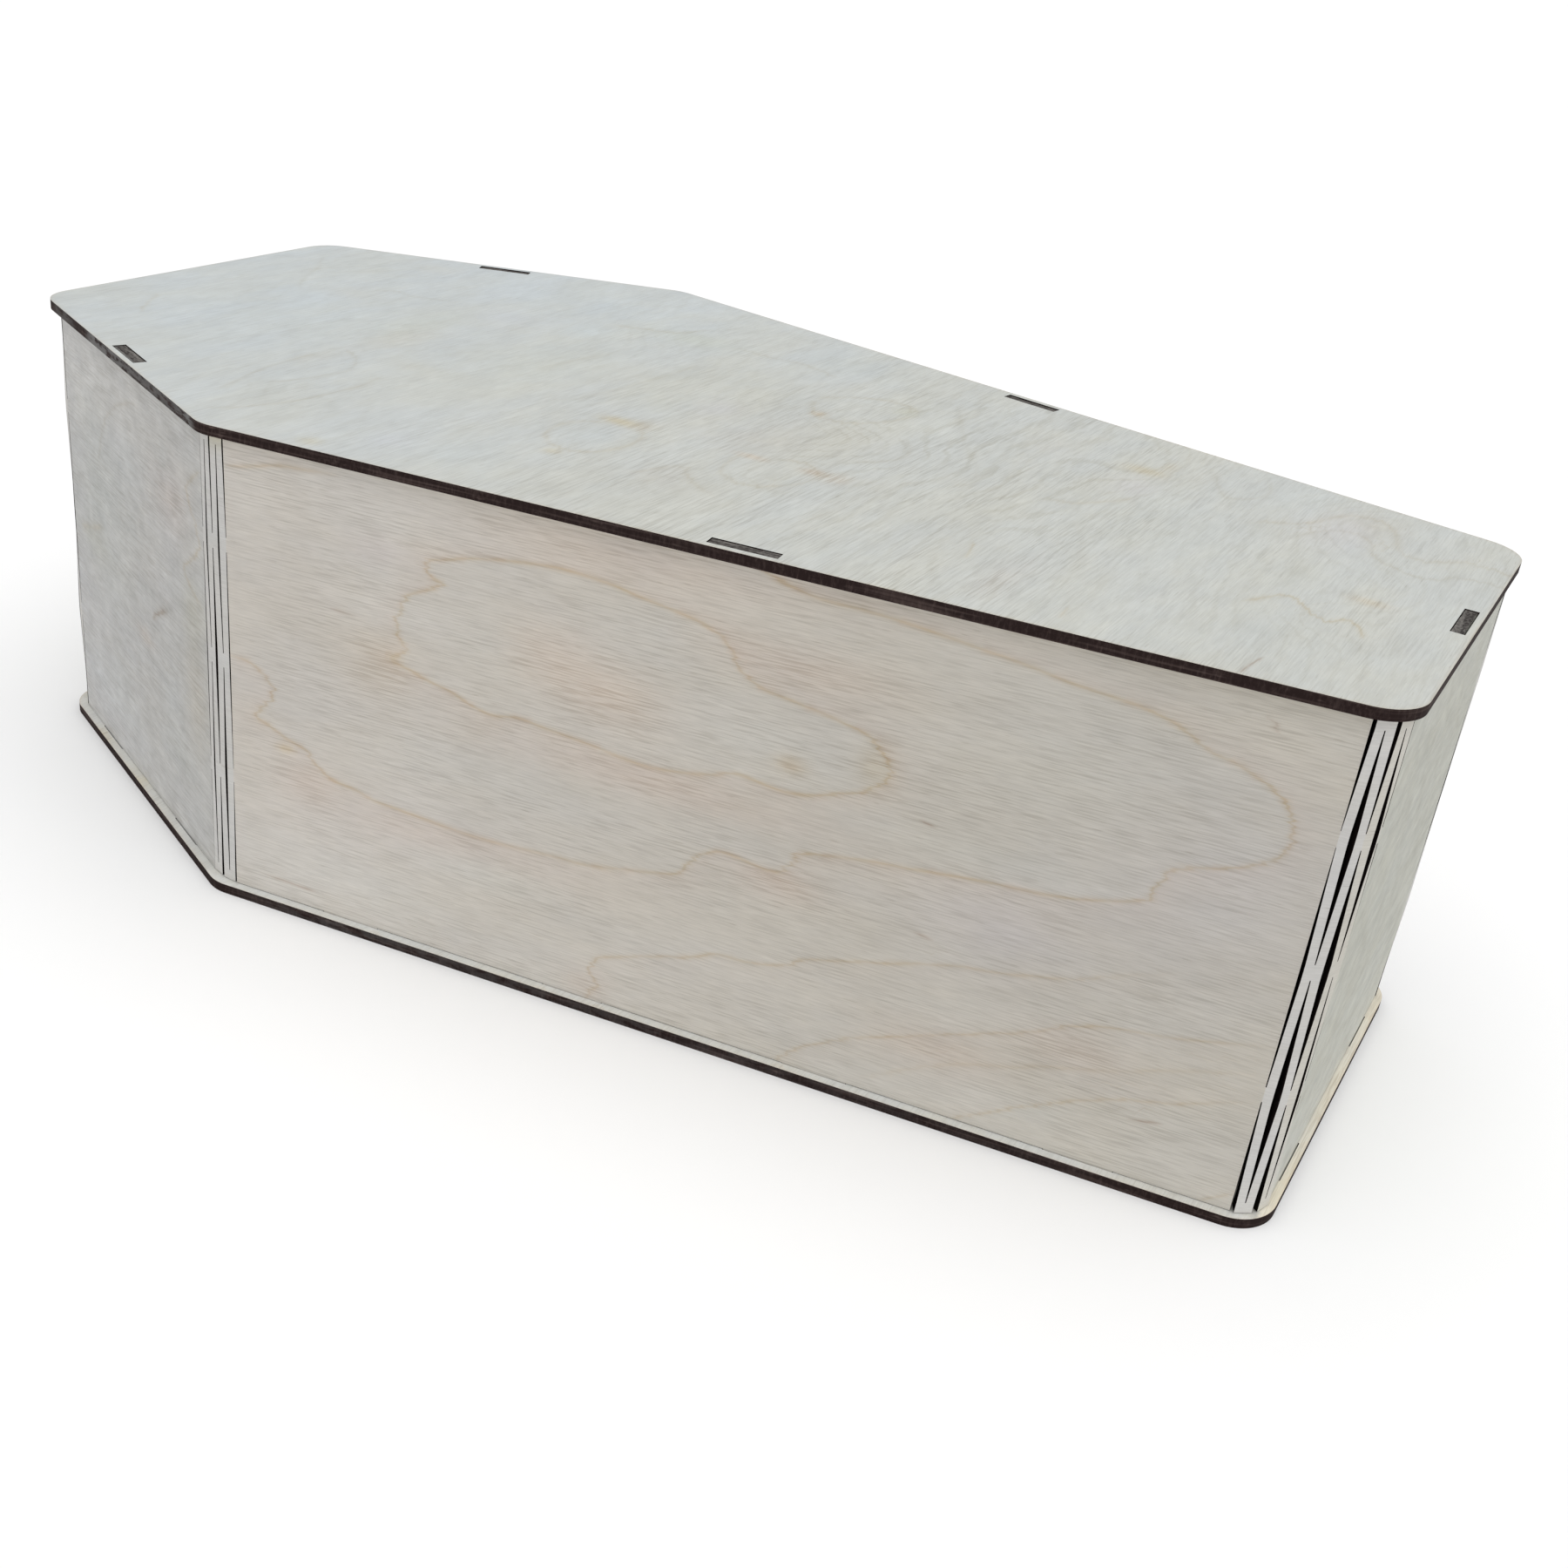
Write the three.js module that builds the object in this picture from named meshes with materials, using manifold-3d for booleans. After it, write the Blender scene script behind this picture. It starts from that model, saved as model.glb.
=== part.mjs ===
// Six-sided pet coffin of thin plywood: a base panel, one wall strip bent round
// the corners on living hinges, and a loose lid panel. Millimetres, +Z up.
// The origin is on the underside, at the middle of the length and the width.
// +X points to the foot end, so the shoulders are on the -X side.
import * as THREE from "three";
import { mergeVertices } from "three/addons/utils/BufferGeometryUtils.js";
import Module from "manifold-3d";

// ---- Driving dimensions ----
const LENGTH = 580; // head edge to foot edge of the panels
const HEAD_WIDTH = 171.6;
const SHOULDER_WIDTH = 316.8;
const FOOT_WIDTH = 180;
const SHOULDER_FROM_HEAD = 167.5;
const HEIGHT = 195.4; // underside of the base to the top of the lid
const PLY = 4; // sheet thickness of all three pieces
const CORNER_RADIUS = 17; // rounding of the panel corners, in plan
const CORNER_STEPS = 10;

// Panel edge to the outer face of the wall, for each side in the order of the
// slot lists below; the foot stands a little further out.
const WALL_INSETS = [3.6, 3.6, 3.0, 3.6, 3.6, 3.6];
const SEAT_GAP = 0.25; // wall edge to the panel it meets
const TAB_RECESS = 0.3; // tab ends stop this far short of the panel's far face
const END_GAP = 0.4; // between the strip's two ends, mid head side

const SLOT_LENGTH = 25;
const LID_SLOT_NEAR = [2.4, 2.8, 2.4, 2.8, 2.8, 2.8]; // lid edge to the slot's outer long side
const BASE_SLOT_FREE = 0.25; // base slot's outer long side to the wall's face
const SLOT_INNER_FREE = 0.3; // wall's inner face to the slot's inner long side
const TAB_LENGTH = 24.4;

const HINGE_SLITS = 5; // slits in each living hinge
const HINGE_PITCH = 3.3; // slit to slit on the outer face
const SLIT_MIN = 0.3; // slit width beside a bridge
const SLIT_OPEN = 0.055; // opening at mid slit, for each degree one slit turns

// Slit ends, as heights above the wall's lower edge. Odd slits run out through
// both edges; even slits stop short of them. null means open through the edge.
const ODD_SLITS = [
  [null, 46],
  [52, 142.4],
  [148.2, null],
];
const EVEN_SLITS = [
  [4.3, 94.6],
  [100.5, 182.8],
];

// Slot and tab centres, as distances along each side from its first corner, in
// the order head-right, right, foot, left, head-left, head (seen from above,
// counter-clockwise from the head's -Y corner).
const LID_SLOTS = [[94.2], [207.6], [89], [210.5], [88.4], []];
const BASE_SLOTS = [
  [47.5, 140.9],
  [61.4, 158.9, 256.4, 353.9],
  [40.5, 137.5],
  [64.2, 161.7, 259.2, 356.7],
  [41.7, 135.1],
  [42, 129.6],
];

// ---- Plan geometry ----
const xHead = -LENGTH / 2;
const xFoot = LENGTH / 2;
const xShoulder = xHead + SHOULDER_FROM_HEAD;
const CORNERS = [
  [xHead, -HEAD_WIDTH / 2],
  [xShoulder, -SHOULDER_WIDTH / 2],
  [xFoot, -FOOT_WIDTH / 2],
  [xFoot, FOOT_WIDTH / 2],
  [xShoulder, SHOULDER_WIDTH / 2],
  [xHead, HEAD_WIDTH / 2],
].map(([x, y]) => new THREE.Vector2(x, y));
const SIDES = CORNERS.length;

const leftOf = (d) => new THREE.Vector2(-d.y, d.x);
const sideDir = (i) =>
  CORNERS[(i + 1) % SIDES].clone().sub(CORNERS[i % SIDES]).normalize();
const along = (p, d, t) => p.clone().addScaledVector(d, t);

// The corner of the outline moved inwards by a distance on both sides of it.
function insetCorner(i, inset) {
  const a = sideDir((i + SIDES - 1) % SIDES),
    b = sideDir(i),
    half = Math.acos(THREE.MathUtils.clamp(a.dot(b), -1, 1)) / 2,
    bisector = leftOf(a).add(leftOf(b)).normalize();
  return along(CORNERS[i], bisector, inset / Math.cos(half));
}

// The sharp corner in which the wall's outer faces on both sides of it meet.
function wallCorner(i) {
  const j = (i + SIDES - 1) % SIDES,
    a = sideDir(j),
    b = sideDir(i),
    p = along(CORNERS[i], leftOf(a), WALL_INSETS[j]),
    gap = WALL_INSETS[i] - p.clone().sub(CORNERS[i]).dot(leftOf(b));
  return along(p, a, gap / a.dot(leftOf(b)));
}

// The panels' outline: straight sides joined by arcs.
function roundedOutline(radius, steps) {
  const points = [];
  for (let i = 0; i < SIDES; i++) {
    const a = sideDir((i + SIDES - 1) % SIDES),
      b = sideDir(i),
      turn = Math.acos(THREE.MathUtils.clamp(a.dot(b), -1, 1)),
      centre = insetCorner(i, radius),
      start = leftOf(a).negate().angle();
    for (let k = 0; k <= steps; k++) {
      const angle = start + (turn * k) / steps;
      points.push(
        new THREE.Vector2(
          centre.x + radius * Math.cos(angle),
          centre.y + radius * Math.sin(angle),
        ),
      );
    }
  }
  return points;
}

// A rectangle along side i, centred at a distance from its first corner, between
// two distances in from the panel edge.
function sideRectangle(i, centre, length, near, far) {
  const d = sideDir(i),
    n = leftOf(d),
    at = (t, inset) => along(along(CORNERS[i], d, t), n, inset);
  return [
    at(centre - length / 2, near),
    at(centre + length / 2, near),
    at(centre + length / 2, far),
    at(centre - length / 2, far),
  ];
}

// The bend of the wall at corner i: one point of its outer face per slit. The
// bars between the slits stay flat, so the face turns by an equal step at each.
function hingePoints(i) {
  const a = sideDir((i + SIDES - 1) % SIDES),
    b = sideDir(i),
    turn = Math.acos(THREE.MathUtils.clamp(a.dot(b), -1, 1)),
    step = turn / HINGE_SLITS,
    heading = a.angle();
  let chord = 0;
  for (let k = 1; k < HINGE_SLITS; k++)
    chord += HINGE_PITCH * Math.cos(turn / 2 - k * step);
  let p = along(wallCorner(i), a, -chord / (2 * Math.cos(turn / 2)));
  const slits = [];
  for (let k = 0; k < HINGE_SLITS; k++) {
    if (k) {
      const h = heading + k * step;
      p = along(p, new THREE.Vector2(Math.cos(h), Math.sin(h)), HINGE_PITCH);
    }
    const h = heading + (k + 0.5) * step;
    slits.push({
      point: p.clone(),
      tangent: new THREE.Vector2(Math.cos(h), Math.sin(h)),
      step,
    });
  }
  return slits;
}
const HINGES = CORNERS.map((_, i) => hingePoints(i));

// Outline of the strip between two depths below its outer face, open at the
// middle of the head side.
function stripOutline(outer, inner, endGap) {
  const run = (depth) => {
    const x = xHead + WALL_INSETS[SIDES - 1] + depth,
      pts = [new THREE.Vector2(x, -endGap / 2)];
    for (const hinge of HINGES)
      for (const s of hinge)
        pts.push(
          along(s.point, leftOf(s.tangent), depth / Math.cos(s.step / 2)),
        );
    pts.push(new THREE.Vector2(x, endGap / 2));
    return pts;
  };
  return [...run(outer), ...run(inner).reverse()];
}

// ---- Solids ----
const wasm = await Module();
wasm.setup();

const extrude = (points, depth, holes = []) => {
  const shape = new THREE.Shape(points);
  shape.holes = holes.map((h) => new THREE.Path(h));
  return new THREE.ExtrudeGeometry(shape, { depth, bevelEnabled: false });
};

function toSolid(geometry) {
  const g = geometry.clone();
  g.deleteAttribute("normal");
  g.deleteAttribute("uv");
  const merged = mergeVertices(g, 1e-4);
  return new wasm.Manifold(
    new wasm.Mesh({
      numProp: 3,
      vertProperties: new Float32Array(merged.attributes.position.array),
      triVerts: new Uint32Array(merged.index.array),
    }),
  );
}

function toGeometry(solid) {
  const m = solid.getMesh(),
    g = new THREE.BufferGeometry();
  const v = new Float32Array(m.numVert * 3);
  for (let i = 0; i < m.numVert; i++)
    v.set(m.vertProperties.subarray(i * m.numProp, i * m.numProp + 3), i * 3);
  g.setAttribute("position", new THREE.BufferAttribute(v, 3));
  g.setIndex(new THREE.BufferAttribute(new Uint32Array(m.triVerts), 1));
  g.computeVertexNormals();
  return g;
}

const placed = (geometry, x, y, z) => geometry.clone().translate(x, y, z);

const wallLow = PLY + SEAT_GAP; // lower edge of the wall, between its tabs
const wallHigh = HEIGHT - PLY - SEAT_GAP; // upper edge

// A slit: a slim lens on the wall's face, cut right through the strip.
function slitCutter(slit, from, to, widest) {
  const open = 3, // how far an open slit's cutter runs past the edge
    low = from === null ? wallLow - open : wallLow + from,
    high = to === null ? wallHigh + open : wallLow + to,
    steps = 4,
    side = [];
  for (let k = 0; k <= steps; k++) {
    const f = k / steps,
      swell =
        from === null
          ? Math.cos((Math.PI / 2) * f)
          : to === null
            ? Math.sin((Math.PI / 2) * f)
            : Math.sin(Math.PI * f);
    side.push([
      (SLIT_MIN + (widest - SLIT_MIN) * swell) / 2,
      low + (high - low) * f,
    ]);
  }
  const profile = [
    ...side.map(([w, z]) => new THREE.Vector2(w, z)),
    ...side.map(([w, z]) => new THREE.Vector2(-w, z)).reverse(),
  ];
  const depth = PLY + 2,
    out = leftOf(slit.tangent).negate(),
    start = along(slit.point, out, -(PLY + 1));
  return extrude(profile, depth).applyMatrix4(
    new THREE.Matrix4()
      .makeBasis(
        new THREE.Vector3(slit.tangent.x, slit.tangent.y, 0),
        new THREE.Vector3(0, 0, 1),
        new THREE.Vector3(out.x, out.y, 0),
      )
      .setPosition(start.x, start.y, 0),
  );
}

// What is cut away along one long edge of the strip to leave its tabs standing.
function edgeWaste(centres, low, high) {
  let waste = toSolid(
    placed(extrude(stripOutline(-3, PLY + 3, 0.1), high - low), 0, 0, low),
  );
  centres.forEach((list, i) =>
    list.forEach((c) => {
      const keep = extrude(
        sideRectangle(i, c, TAB_LENGTH, -2, PLY + 9),
        high - low + 4,
      );
      waste = waste.subtract(toSolid(placed(keep, 0, 0, low - 2)));
    }),
  );
  return waste;
}

function wallSolid() {
  const low = TAB_RECESS,
    high = HEIGHT - TAB_RECESS;
  let wall = toSolid(
    placed(extrude(stripOutline(0, PLY, END_GAP), high - low), 0, 0, low),
  );
  wall = wall
    .subtract(edgeWaste(LID_SLOTS, wallHigh, high + 2))
    .subtract(edgeWaste(BASE_SLOTS, low - 2, wallLow));
  for (const hinge of HINGES)
    hinge.forEach((slit, k) => {
      const widest =
        SLIT_MIN + SLIT_OPEN * THREE.MathUtils.radToDeg(slit.step);
      for (const [from, to] of k % 2 ? EVEN_SLITS : ODD_SLITS)
        wall = wall.subtract(toSolid(slitCutter(slit, from, to, widest)));
    });
  return wall;
}

function panelGeometry(slots, near) {
  const holes = slots.flatMap((list, i) =>
    list.map((c) => sideRectangle(
        i,
        c,
        SLOT_LENGTH,
        near(i),
        WALL_INSETS[i] + PLY + SLOT_INNER_FREE,
      )),
  );
  return extrude(roundedOutline(CORNER_RADIUS, CORNER_STEPS), PLY, holes);
}

// ---- The object ----
const plywood = (color) =>
  new THREE.MeshStandardMaterial({ color, roughness: 0.72, metalness: 0 });

const base = new THREE.Mesh(
  panelGeometry(BASE_SLOTS, (i) => WALL_INSETS[i] - BASE_SLOT_FREE),
  plywood(0xd8d6cc),
);
base.name = "base";

const sideWall = new THREE.Mesh(toGeometry(wallSolid()), plywood(0xc9c2b8));
sideWall.name = "side_wall";

const lid = new THREE.Mesh(
  panelGeometry(LID_SLOTS, (i) => LID_SLOT_NEAR[i]),
  plywood(0xd2d1cc),
);
lid.name = "lid";
lid.position.z = HEIGHT - PLY;

const coffin = new THREE.Group();
coffin.name = "pet_coffin";
coffin.add(base, sideWall, lid);

export default coffin;
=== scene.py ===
import math

import bpy
import numpy as np
from mathutils import Matrix, Vector
from mathutils.geometry import delaunay_2d_cdt


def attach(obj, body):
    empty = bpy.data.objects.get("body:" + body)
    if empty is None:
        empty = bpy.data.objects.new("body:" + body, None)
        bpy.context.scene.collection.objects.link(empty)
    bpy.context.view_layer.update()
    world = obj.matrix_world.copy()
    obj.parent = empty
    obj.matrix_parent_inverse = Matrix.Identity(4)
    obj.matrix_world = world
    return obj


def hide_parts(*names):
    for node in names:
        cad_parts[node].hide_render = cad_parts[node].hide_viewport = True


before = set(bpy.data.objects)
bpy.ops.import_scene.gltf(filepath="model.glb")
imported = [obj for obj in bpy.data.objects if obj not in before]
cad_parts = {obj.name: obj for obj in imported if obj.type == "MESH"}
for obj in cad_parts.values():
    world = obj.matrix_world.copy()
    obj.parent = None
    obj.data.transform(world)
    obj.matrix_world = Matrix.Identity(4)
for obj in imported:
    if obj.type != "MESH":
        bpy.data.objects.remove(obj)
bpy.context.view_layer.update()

# ---------------------------------------------------------------- sizes, in mm
LENGTH = 580.0
PLY = 4.0
HEIGHT = 195.4
RADIUS = 17.0
# Panel edge to the wall's outer face; the foot stands a little further out.
INSETS = [3.6, 3.6, 3.0, 3.6, 3.6, 3.6]
PITCH = 3.3
KERF = 0.35
WALL_LOW, WALL_HIGH = 4.25, 191.15
TAB_LOW, TAB_HIGH = 0.3, 195.1
TAB = 24.4
SLOT = 25.0
LID_NEAR = [2.4, 2.8, 2.4, 2.8, 2.8, 2.8]
BASE_NEAR = [v - g for v, g in zip(INSETS, (0.4, 0.2, 0.4, 0.25, 0.25, 0.25))]
SLOT_FAR = [v + PLY + 0.3 for v in INSETS]

CORNERS = np.array([
    (-290.0, -85.8), (-122.5, -158.4), (290.0, -90.0),
    (290.0, 90.0), (-122.5, 158.4), (-290.0, 85.8),
])
LID_SLOTS = [[94.2], [207.6], [89.0], [210.5], [88.4], []]
BASE_SLOTS = [
    [47.5, 140.9], [61.4, 158.9, 256.4, 353.9], [40.5, 137.5],
    [64.2, 161.7, 259.2, 356.7], [41.7, 135.1], [42.0, 129.6],
]
# The living hinge's cuts, as heights above the wall's lower edge.
ODD_CUTS = [(-1.0, 46.0), (52.0, 142.4), (148.2, 999.0)]
EVEN_CUTS = [(4.3, 94.6), (100.5, 182.8)]
LEVELS = [(0.0, 4.3), (46.0, 52.0), (94.6, 100.5), (142.4, 148.2), (182.8, 190.0)]

SIDE = np.roll(CORNERS, -1, axis=0) - CORNERS
SIDE_LENGTH = np.linalg.norm(SIDE, axis=1)
ALONG = SIDE / SIDE_LENGTH[:, None]
INWARD = np.stack([-ALONG[:, 1], ALONG[:, 0]], 1)
TURN = np.array([
    math.atan2(
        ALONG[i - 1][0] * ALONG[i][1] - ALONG[i - 1][1] * ALONG[i][0],
        float(ALONG[i - 1] @ ALONG[i]),
    )
    for i in range(6)
])


def wall_corner(i):
    """The sharp corner in which the wall's outer faces on both sides of corner i meet."""
    p = CORNERS[i] + INWARD[i - 1] * INSETS[i - 1]
    gap = INSETS[i] - float((p - CORNERS[i]) @ INWARD[i])
    return p + ALONG[i - 1] * gap / float(ALONG[i - 1] @ INWARD[i])


# ---------------------------------------------------------------- the veneer's figure
def curve(points, closed=False, steps=5):
    """A smooth line through the points."""
    p = np.array(points, float)
    if closed:
        p = np.vstack([p[-2], p, p[1]])
    else:
        p = np.vstack([2 * p[0] - p[1], p, 2 * p[-1] - p[-2]])
    out = []
    for k in range(1, len(p) - 2):
        a, b, c, d = p[k - 1], p[k], p[k + 1], p[k + 2]
        for t in np.linspace(0, 1, steps, endpoint=False):
            out.append(0.5 * (2 * b + (c - a) * t + (2 * a - 5 * b + 4 * c - d) * t * t + (3 * b - a - 3 * c + d) * t ** 3))
    out.append(p[-2])
    return np.array(out)


def ring(points, strength=1.0, half=0.6, tone=0.0, halo=0.0, reach=9.0, fade=(0.0, 0.0), closed=False):
    """A figure line. tone 0 is tan, 1 grey, 2 a dark red-brown fleck; halo > 0 warms the left of the line's travel, < 0 the right."""
    line = curve(points, closed)
    run = np.concatenate([[0], np.cumsum(np.linalg.norm(np.diff(line, axis=0), axis=1))])
    s = np.full(len(line), strength, float)
    if fade[0]:
        s *= np.clip(run / fade[0], 0, 1)
    if fade[1]:
        s *= np.clip((run[-1] - run) / fade[1], 0, 1)
    return dict(line=line, s=s, half=half, tone=tone, halo=halo, reach=reach)


def step(lo, hi, x):
    t = np.clip((x - lo) / (hi - lo), 0, 1)
    return t * t * (3 - 2 * t)


PINK = np.array([0.010, -0.034, -0.046])


def figure(points, rings, grain=0):
    """For each point: distance to the nearest figure line over its half width, its strength and tone; the warm tint beside it; and how far that distance shifts for each mm along the grain, which is axis 0 or 1."""
    n = len(points)
    best = np.full(n, 1e9)
    out = np.zeros((n, 3))
    out[:, 0] = 20.0
    tint = np.zeros((n, 3))
    lean = np.zeros(n)
    for r in rings:
        a, b = r["line"][:-1], r["line"][1:]
        lo, hi = r["line"].min(0) - 30, r["line"].max(0) + 30
        near = np.where(((points > lo) & (points < hi)).all(1))[0]
        if not len(near):
            continue
        for part in np.array_split(near, max(1, len(near) * len(a) // 2000000)):
            q = points[part][:, None, :]
            ab = (b - a)[None]
            t = np.clip(((q - a[None]) * ab).sum(2) / ((ab ** 2).sum(2) + 1e-9), 0, 1)
            v = q - (a[None] + t[..., None] * ab)
            dist = np.sqrt((v ** 2).sum(2))
            k = dist.argmin(1)
            row = np.arange(len(part))
            d = dist[row, k]
            way = ab[0][k]
            side = np.sign(way[:, 0] * v[row, k][:, 1] - way[:, 1] * v[row, k][:, 0])
            side[side == 0] = 1
            slope = (-way[:, 1] if grain == 0 else way[:, 0]) / (np.linalg.norm(way, axis=1) + 1e-9)
            s = r["s"][k] + t[row, k] * (r["s"][np.minimum(k + 1, len(r["s"]) - 1)] - r["s"][k])
            if r["halo"]:
                on = np.where(side * r["halo"] > 0, 1.0, 0.0)
                tint[part] += (abs(r["halo"]) * s * on * np.exp(-d / r["reach"]))[:, None] * PINK
            win = d < best[part]
            w = part[win]
            best[w] = d[win]
            out[w, 0] = (side * d)[win] / r["half"]
            out[w, 1] = (s * (1 - step(3.6, 6.2, d)))[win]
            out[w, 2] = r["tone"]
            lean[w] = slope[win] / r["half"]
    return out, tint, lean


def pink_of(tint):
    """How warm a tint is, from 0 to 1: the streaks are stronger and browner there."""
    return np.clip((tint[:, 0] - tint[:, 2] - 0.02) / 0.08, 0, 1)


def patches(points, items):
    """Soft oval tints: centre, radii and the change of red, green and blue."""
    tint = np.zeros((len(points), 3))
    for cx, cy, rx, ry, c in items:
        r = np.sqrt(((points[:, 0] - cx) / rx) ** 2 + ((points[:, 1] - cy) / ry) ** 2)
        tint += np.exp(-(r ** 2) * 1.4)[:, None] * np.array(c)
    return tint


# Front panel: mm along the side from its head-end corner, and height.
FRONT_RINGS = [
    ring([(91.7, 163.4), (95.8, 164.8), (102.8, 166.8), (113.9, 169.6), (127.8, 171.8), (144.4, 173.2), (161.1, 172.3), (177.8, 169.8), (194.4, 167.1), (202.8, 164.3), (207.8, 159.3), (212.5, 153.2), (218.1, 149.6), (230.6, 147.3), (244.4, 145.4), (254.2, 143.4), (261.1, 140.7), (265.3, 135.7), (267.2, 130.7), (263.9, 125.1), (258.3, 121.2), (251.4, 118.4), (241.7, 114.8), (231.9, 113.4), (222.2, 114.3), (213.9, 115.1), (205.6, 112.1), (194.4, 109.8), (183.3, 108.2), (169.4, 109.0), (155.6, 110.7), (141.7, 111.8), (130.6, 112.9), (122.2, 111.2), (115.3, 111.5), (105.6, 114.8), (95.8, 117.3), (86.1, 119.6), (76.4, 122.3), (81.9, 124.6), (84.7, 127.3), (81.4, 131.5), (80.6, 137.1), (81.9, 144.0), (86.1, 149.6), (93.1, 152.9), (98.6, 156.5), (93.1, 158.4), (91.7, 163.4)], 1.0, 0.62, halo=0.9, reach=7, closed=True),
    ring([(5.6, 105.1), (10.3, 105.1), (16.7, 104.6), (22.2, 101.8), (27.2, 96.8), (25.6, 91.2), (22.2, 87.1), (18.9, 82.1), (25.0, 80.1), (31.9, 77.3), (41.7, 74.0), (45.8, 69.0), (52.8, 64.8), (63.9, 63.4), (72.2, 61.2), (91.7, 60.1), (111.1, 59.0), (125.0, 59.3), (144.4, 60.7), (161.1, 61.5), (177.8, 64.8), (194.4, 68.4), (198.6, 71.8), (201.4, 75.9), (206.9, 81.5), (212.5, 83.4), (222.2, 82.3), (230.6, 81.5), (236.1, 83.4), (238.9, 88.4), (239.4, 91.2), (247.2, 93.4), (263.9, 96.2), (280.6, 98.2), (294.4, 100.1), (311.1, 101.8), (327.8, 103.2), (341.7, 106.5), (351.4, 109.3), (356.9, 112.1), (358.9, 117.6), (360.3, 123.2), (366.7, 126.5), (377.8, 130.1), (386.1, 134.3), (391.7, 139.0), (393.6, 145.4), (391.7, 152.3), (387.5, 157.9), (380.6, 162.1), (372.2, 165.4), (363.9, 167.1), (355.6, 171.8), (344.4, 175.4), (330.6, 176.8), (319.4, 177.9), (305.6, 180.1), (291.7, 181.5), (277.8, 182.9), (263.9, 184.3), (250.0, 185.1), (236.1, 185.1), (225.0, 187.1), (216.7, 189.6)], 1.0, 0.62, halo=-0.8, reach=7, fade=(8, 0)),
    ring([(163.9, 2.3), (166.7, 8.4), (169.4, 10.7), (165.3, 16.2), (168.1, 23.2), (177.8, 27.3), (191.7, 32.1), (205.6, 37.1), (215.3, 41.2), (227.8, 42.1), (240.3, 45.4), (245.8, 49.6), (258.3, 53.7), (272.2, 57.9), (286.1, 62.1), (300.0, 66.2), (313.9, 68.4), (327.8, 71.8), (338.9, 74.6), (350.0, 79.6), (361.1, 84.3), (373.6, 89.0)], 0.85, 0.55, halo=-0.4, reach=8, fade=(0, 60)),
    ring([(240.3, 2.3), (247.2, 10.7), (258.3, 18.4), (272.2, 25.9), (288.9, 32.9), (302.8, 38.4), (319.4, 45.4), (330.6, 50.1), (341.7, 56.5), (355.6, 60.7), (375.0, 64.0), (388.9, 67.6), (405.6, 71.8)], 0.75, 0.5, halo=-0.5, reach=6, fade=(0, 20)),
    ring([(269.4, 6.5), (286.1, 16.2), (302.8, 25.9), (319.4, 31.5), (338.9, 38.4), (358.3, 44.0), (375.0, 50.9), (391.7, 56.5), (405.6, 60.7)], 0.4, 0.7, fade=(20, 20)),
    ring([(305.6, 2.3), (316.7, 9.3), (327.8, 16.2), (337.5, 21.8), (350.0, 28.7), (363.9, 34.3), (377.8, 38.4), (391.7, 44.0), (406.9, 50.9)], 0.7, 0.5, halo=0.4, reach=5, fade=(0, 20)),
    ring([(394.4, 2.3), (400.0, 7.3), (406.9, 12.1)], 0.5, 0.5),
    ring([(8.3, 180.1), (19.4, 182.3), (30.6, 185.1), (44.4, 186.2), (58.3, 187.3)], 0.8, 0.6, halo=0.5, fade=(3, 20)),
    ring([(278.6, 117.1), (285.6, 115.9)], 0.8, 0.4, tone=2.0, fade=(3, 3)),
    ring([(282.8, 74.6), (290.8, 73.4)], 0.7, 0.4, tone=2.0, fade=(3, 3)),
    ring([(366.1, 27.3), (378.3, 29.6)], 0.8, 0.4, tone=2.0, fade=(5, 3)),
    ring([(19.4, 12.6), (47.2, 11.8)], 0.7, 0.4, tone=2.0, fade=(12, 4)),
    ring([(51.4, 135.7), (63.3, 135.1)], 0.5, 0.5, tone=2.0, fade=(3, 6)),
    ring([(377.2, 184.0), (382.8, 177.9)], 0.5, 0.45, tone=2.0, fade=(3, 3)),
]
WARM, COOL, GOLD = (0.012, -0.030, -0.042), (0.008, 0.020, 0.026), (0.0, -0.07, -0.22)
FRONT_PATCHES = [
    (165, 142, 62, 24, (0.03, 0.032, 0.028)), (140, 141, 22, 15, (0.035, -0.02, -0.05)), (166, 131, 26, 15, (0.04, -0.022, -0.06)), (72, 118, 22, 18, (0.01, -0.018, -0.06)), (120, 47, 32, 10, (0.05, 0.08, 0.09)), (180, 158, 16, 8, (0.015, 0.03, 0.05)), (72, 163, 14, 8, (-0.025, -0.04, -0.015)), (370, 120, 50, 45, (-0.012, -0.008, 0.035)), (312, 85, 34, 18, (-0.012, -0.012, 0.04)), (175, 184, 80, 9, WARM), (232, 160, 40, 10, WARM),
    (185, 102, 70, 8, WARM), (110, 52, 55, 8, WARM), (235, 77, 20, 8, WARM), (163, 10, 10, 9, WARM),
    (345, 47, 24, 11, WARM), (52, 45, 45, 30, (0.02, 0.01, 0.01)), (40, 60, 14, 10, WARM), (300, 30, 30, 12, WARM), (60, 20, 60, 14, (0.025, 0.03, 0.03)), (120, 140, 22, 18, (0.02, 0.03, 0.03)),
    (75, 150, 18, 35, COOL), (110, 85, 62, 13, COOL), (225, 128, 35, 10, COOL), (330, 145, 48, 25, COOL),
    (330, 20, 22, 9, COOL), (60, 25, 50, 16, COOL), (300, 110, 60, 8, COOL),
    (32.5, 72.5, 4.5, 2.4, GOLD), (233, 124, 7, 4, (0.0, -0.06, -0.14)), (262, 132, 8, 9, (0.0, -0.03, -0.09)),
]

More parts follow.
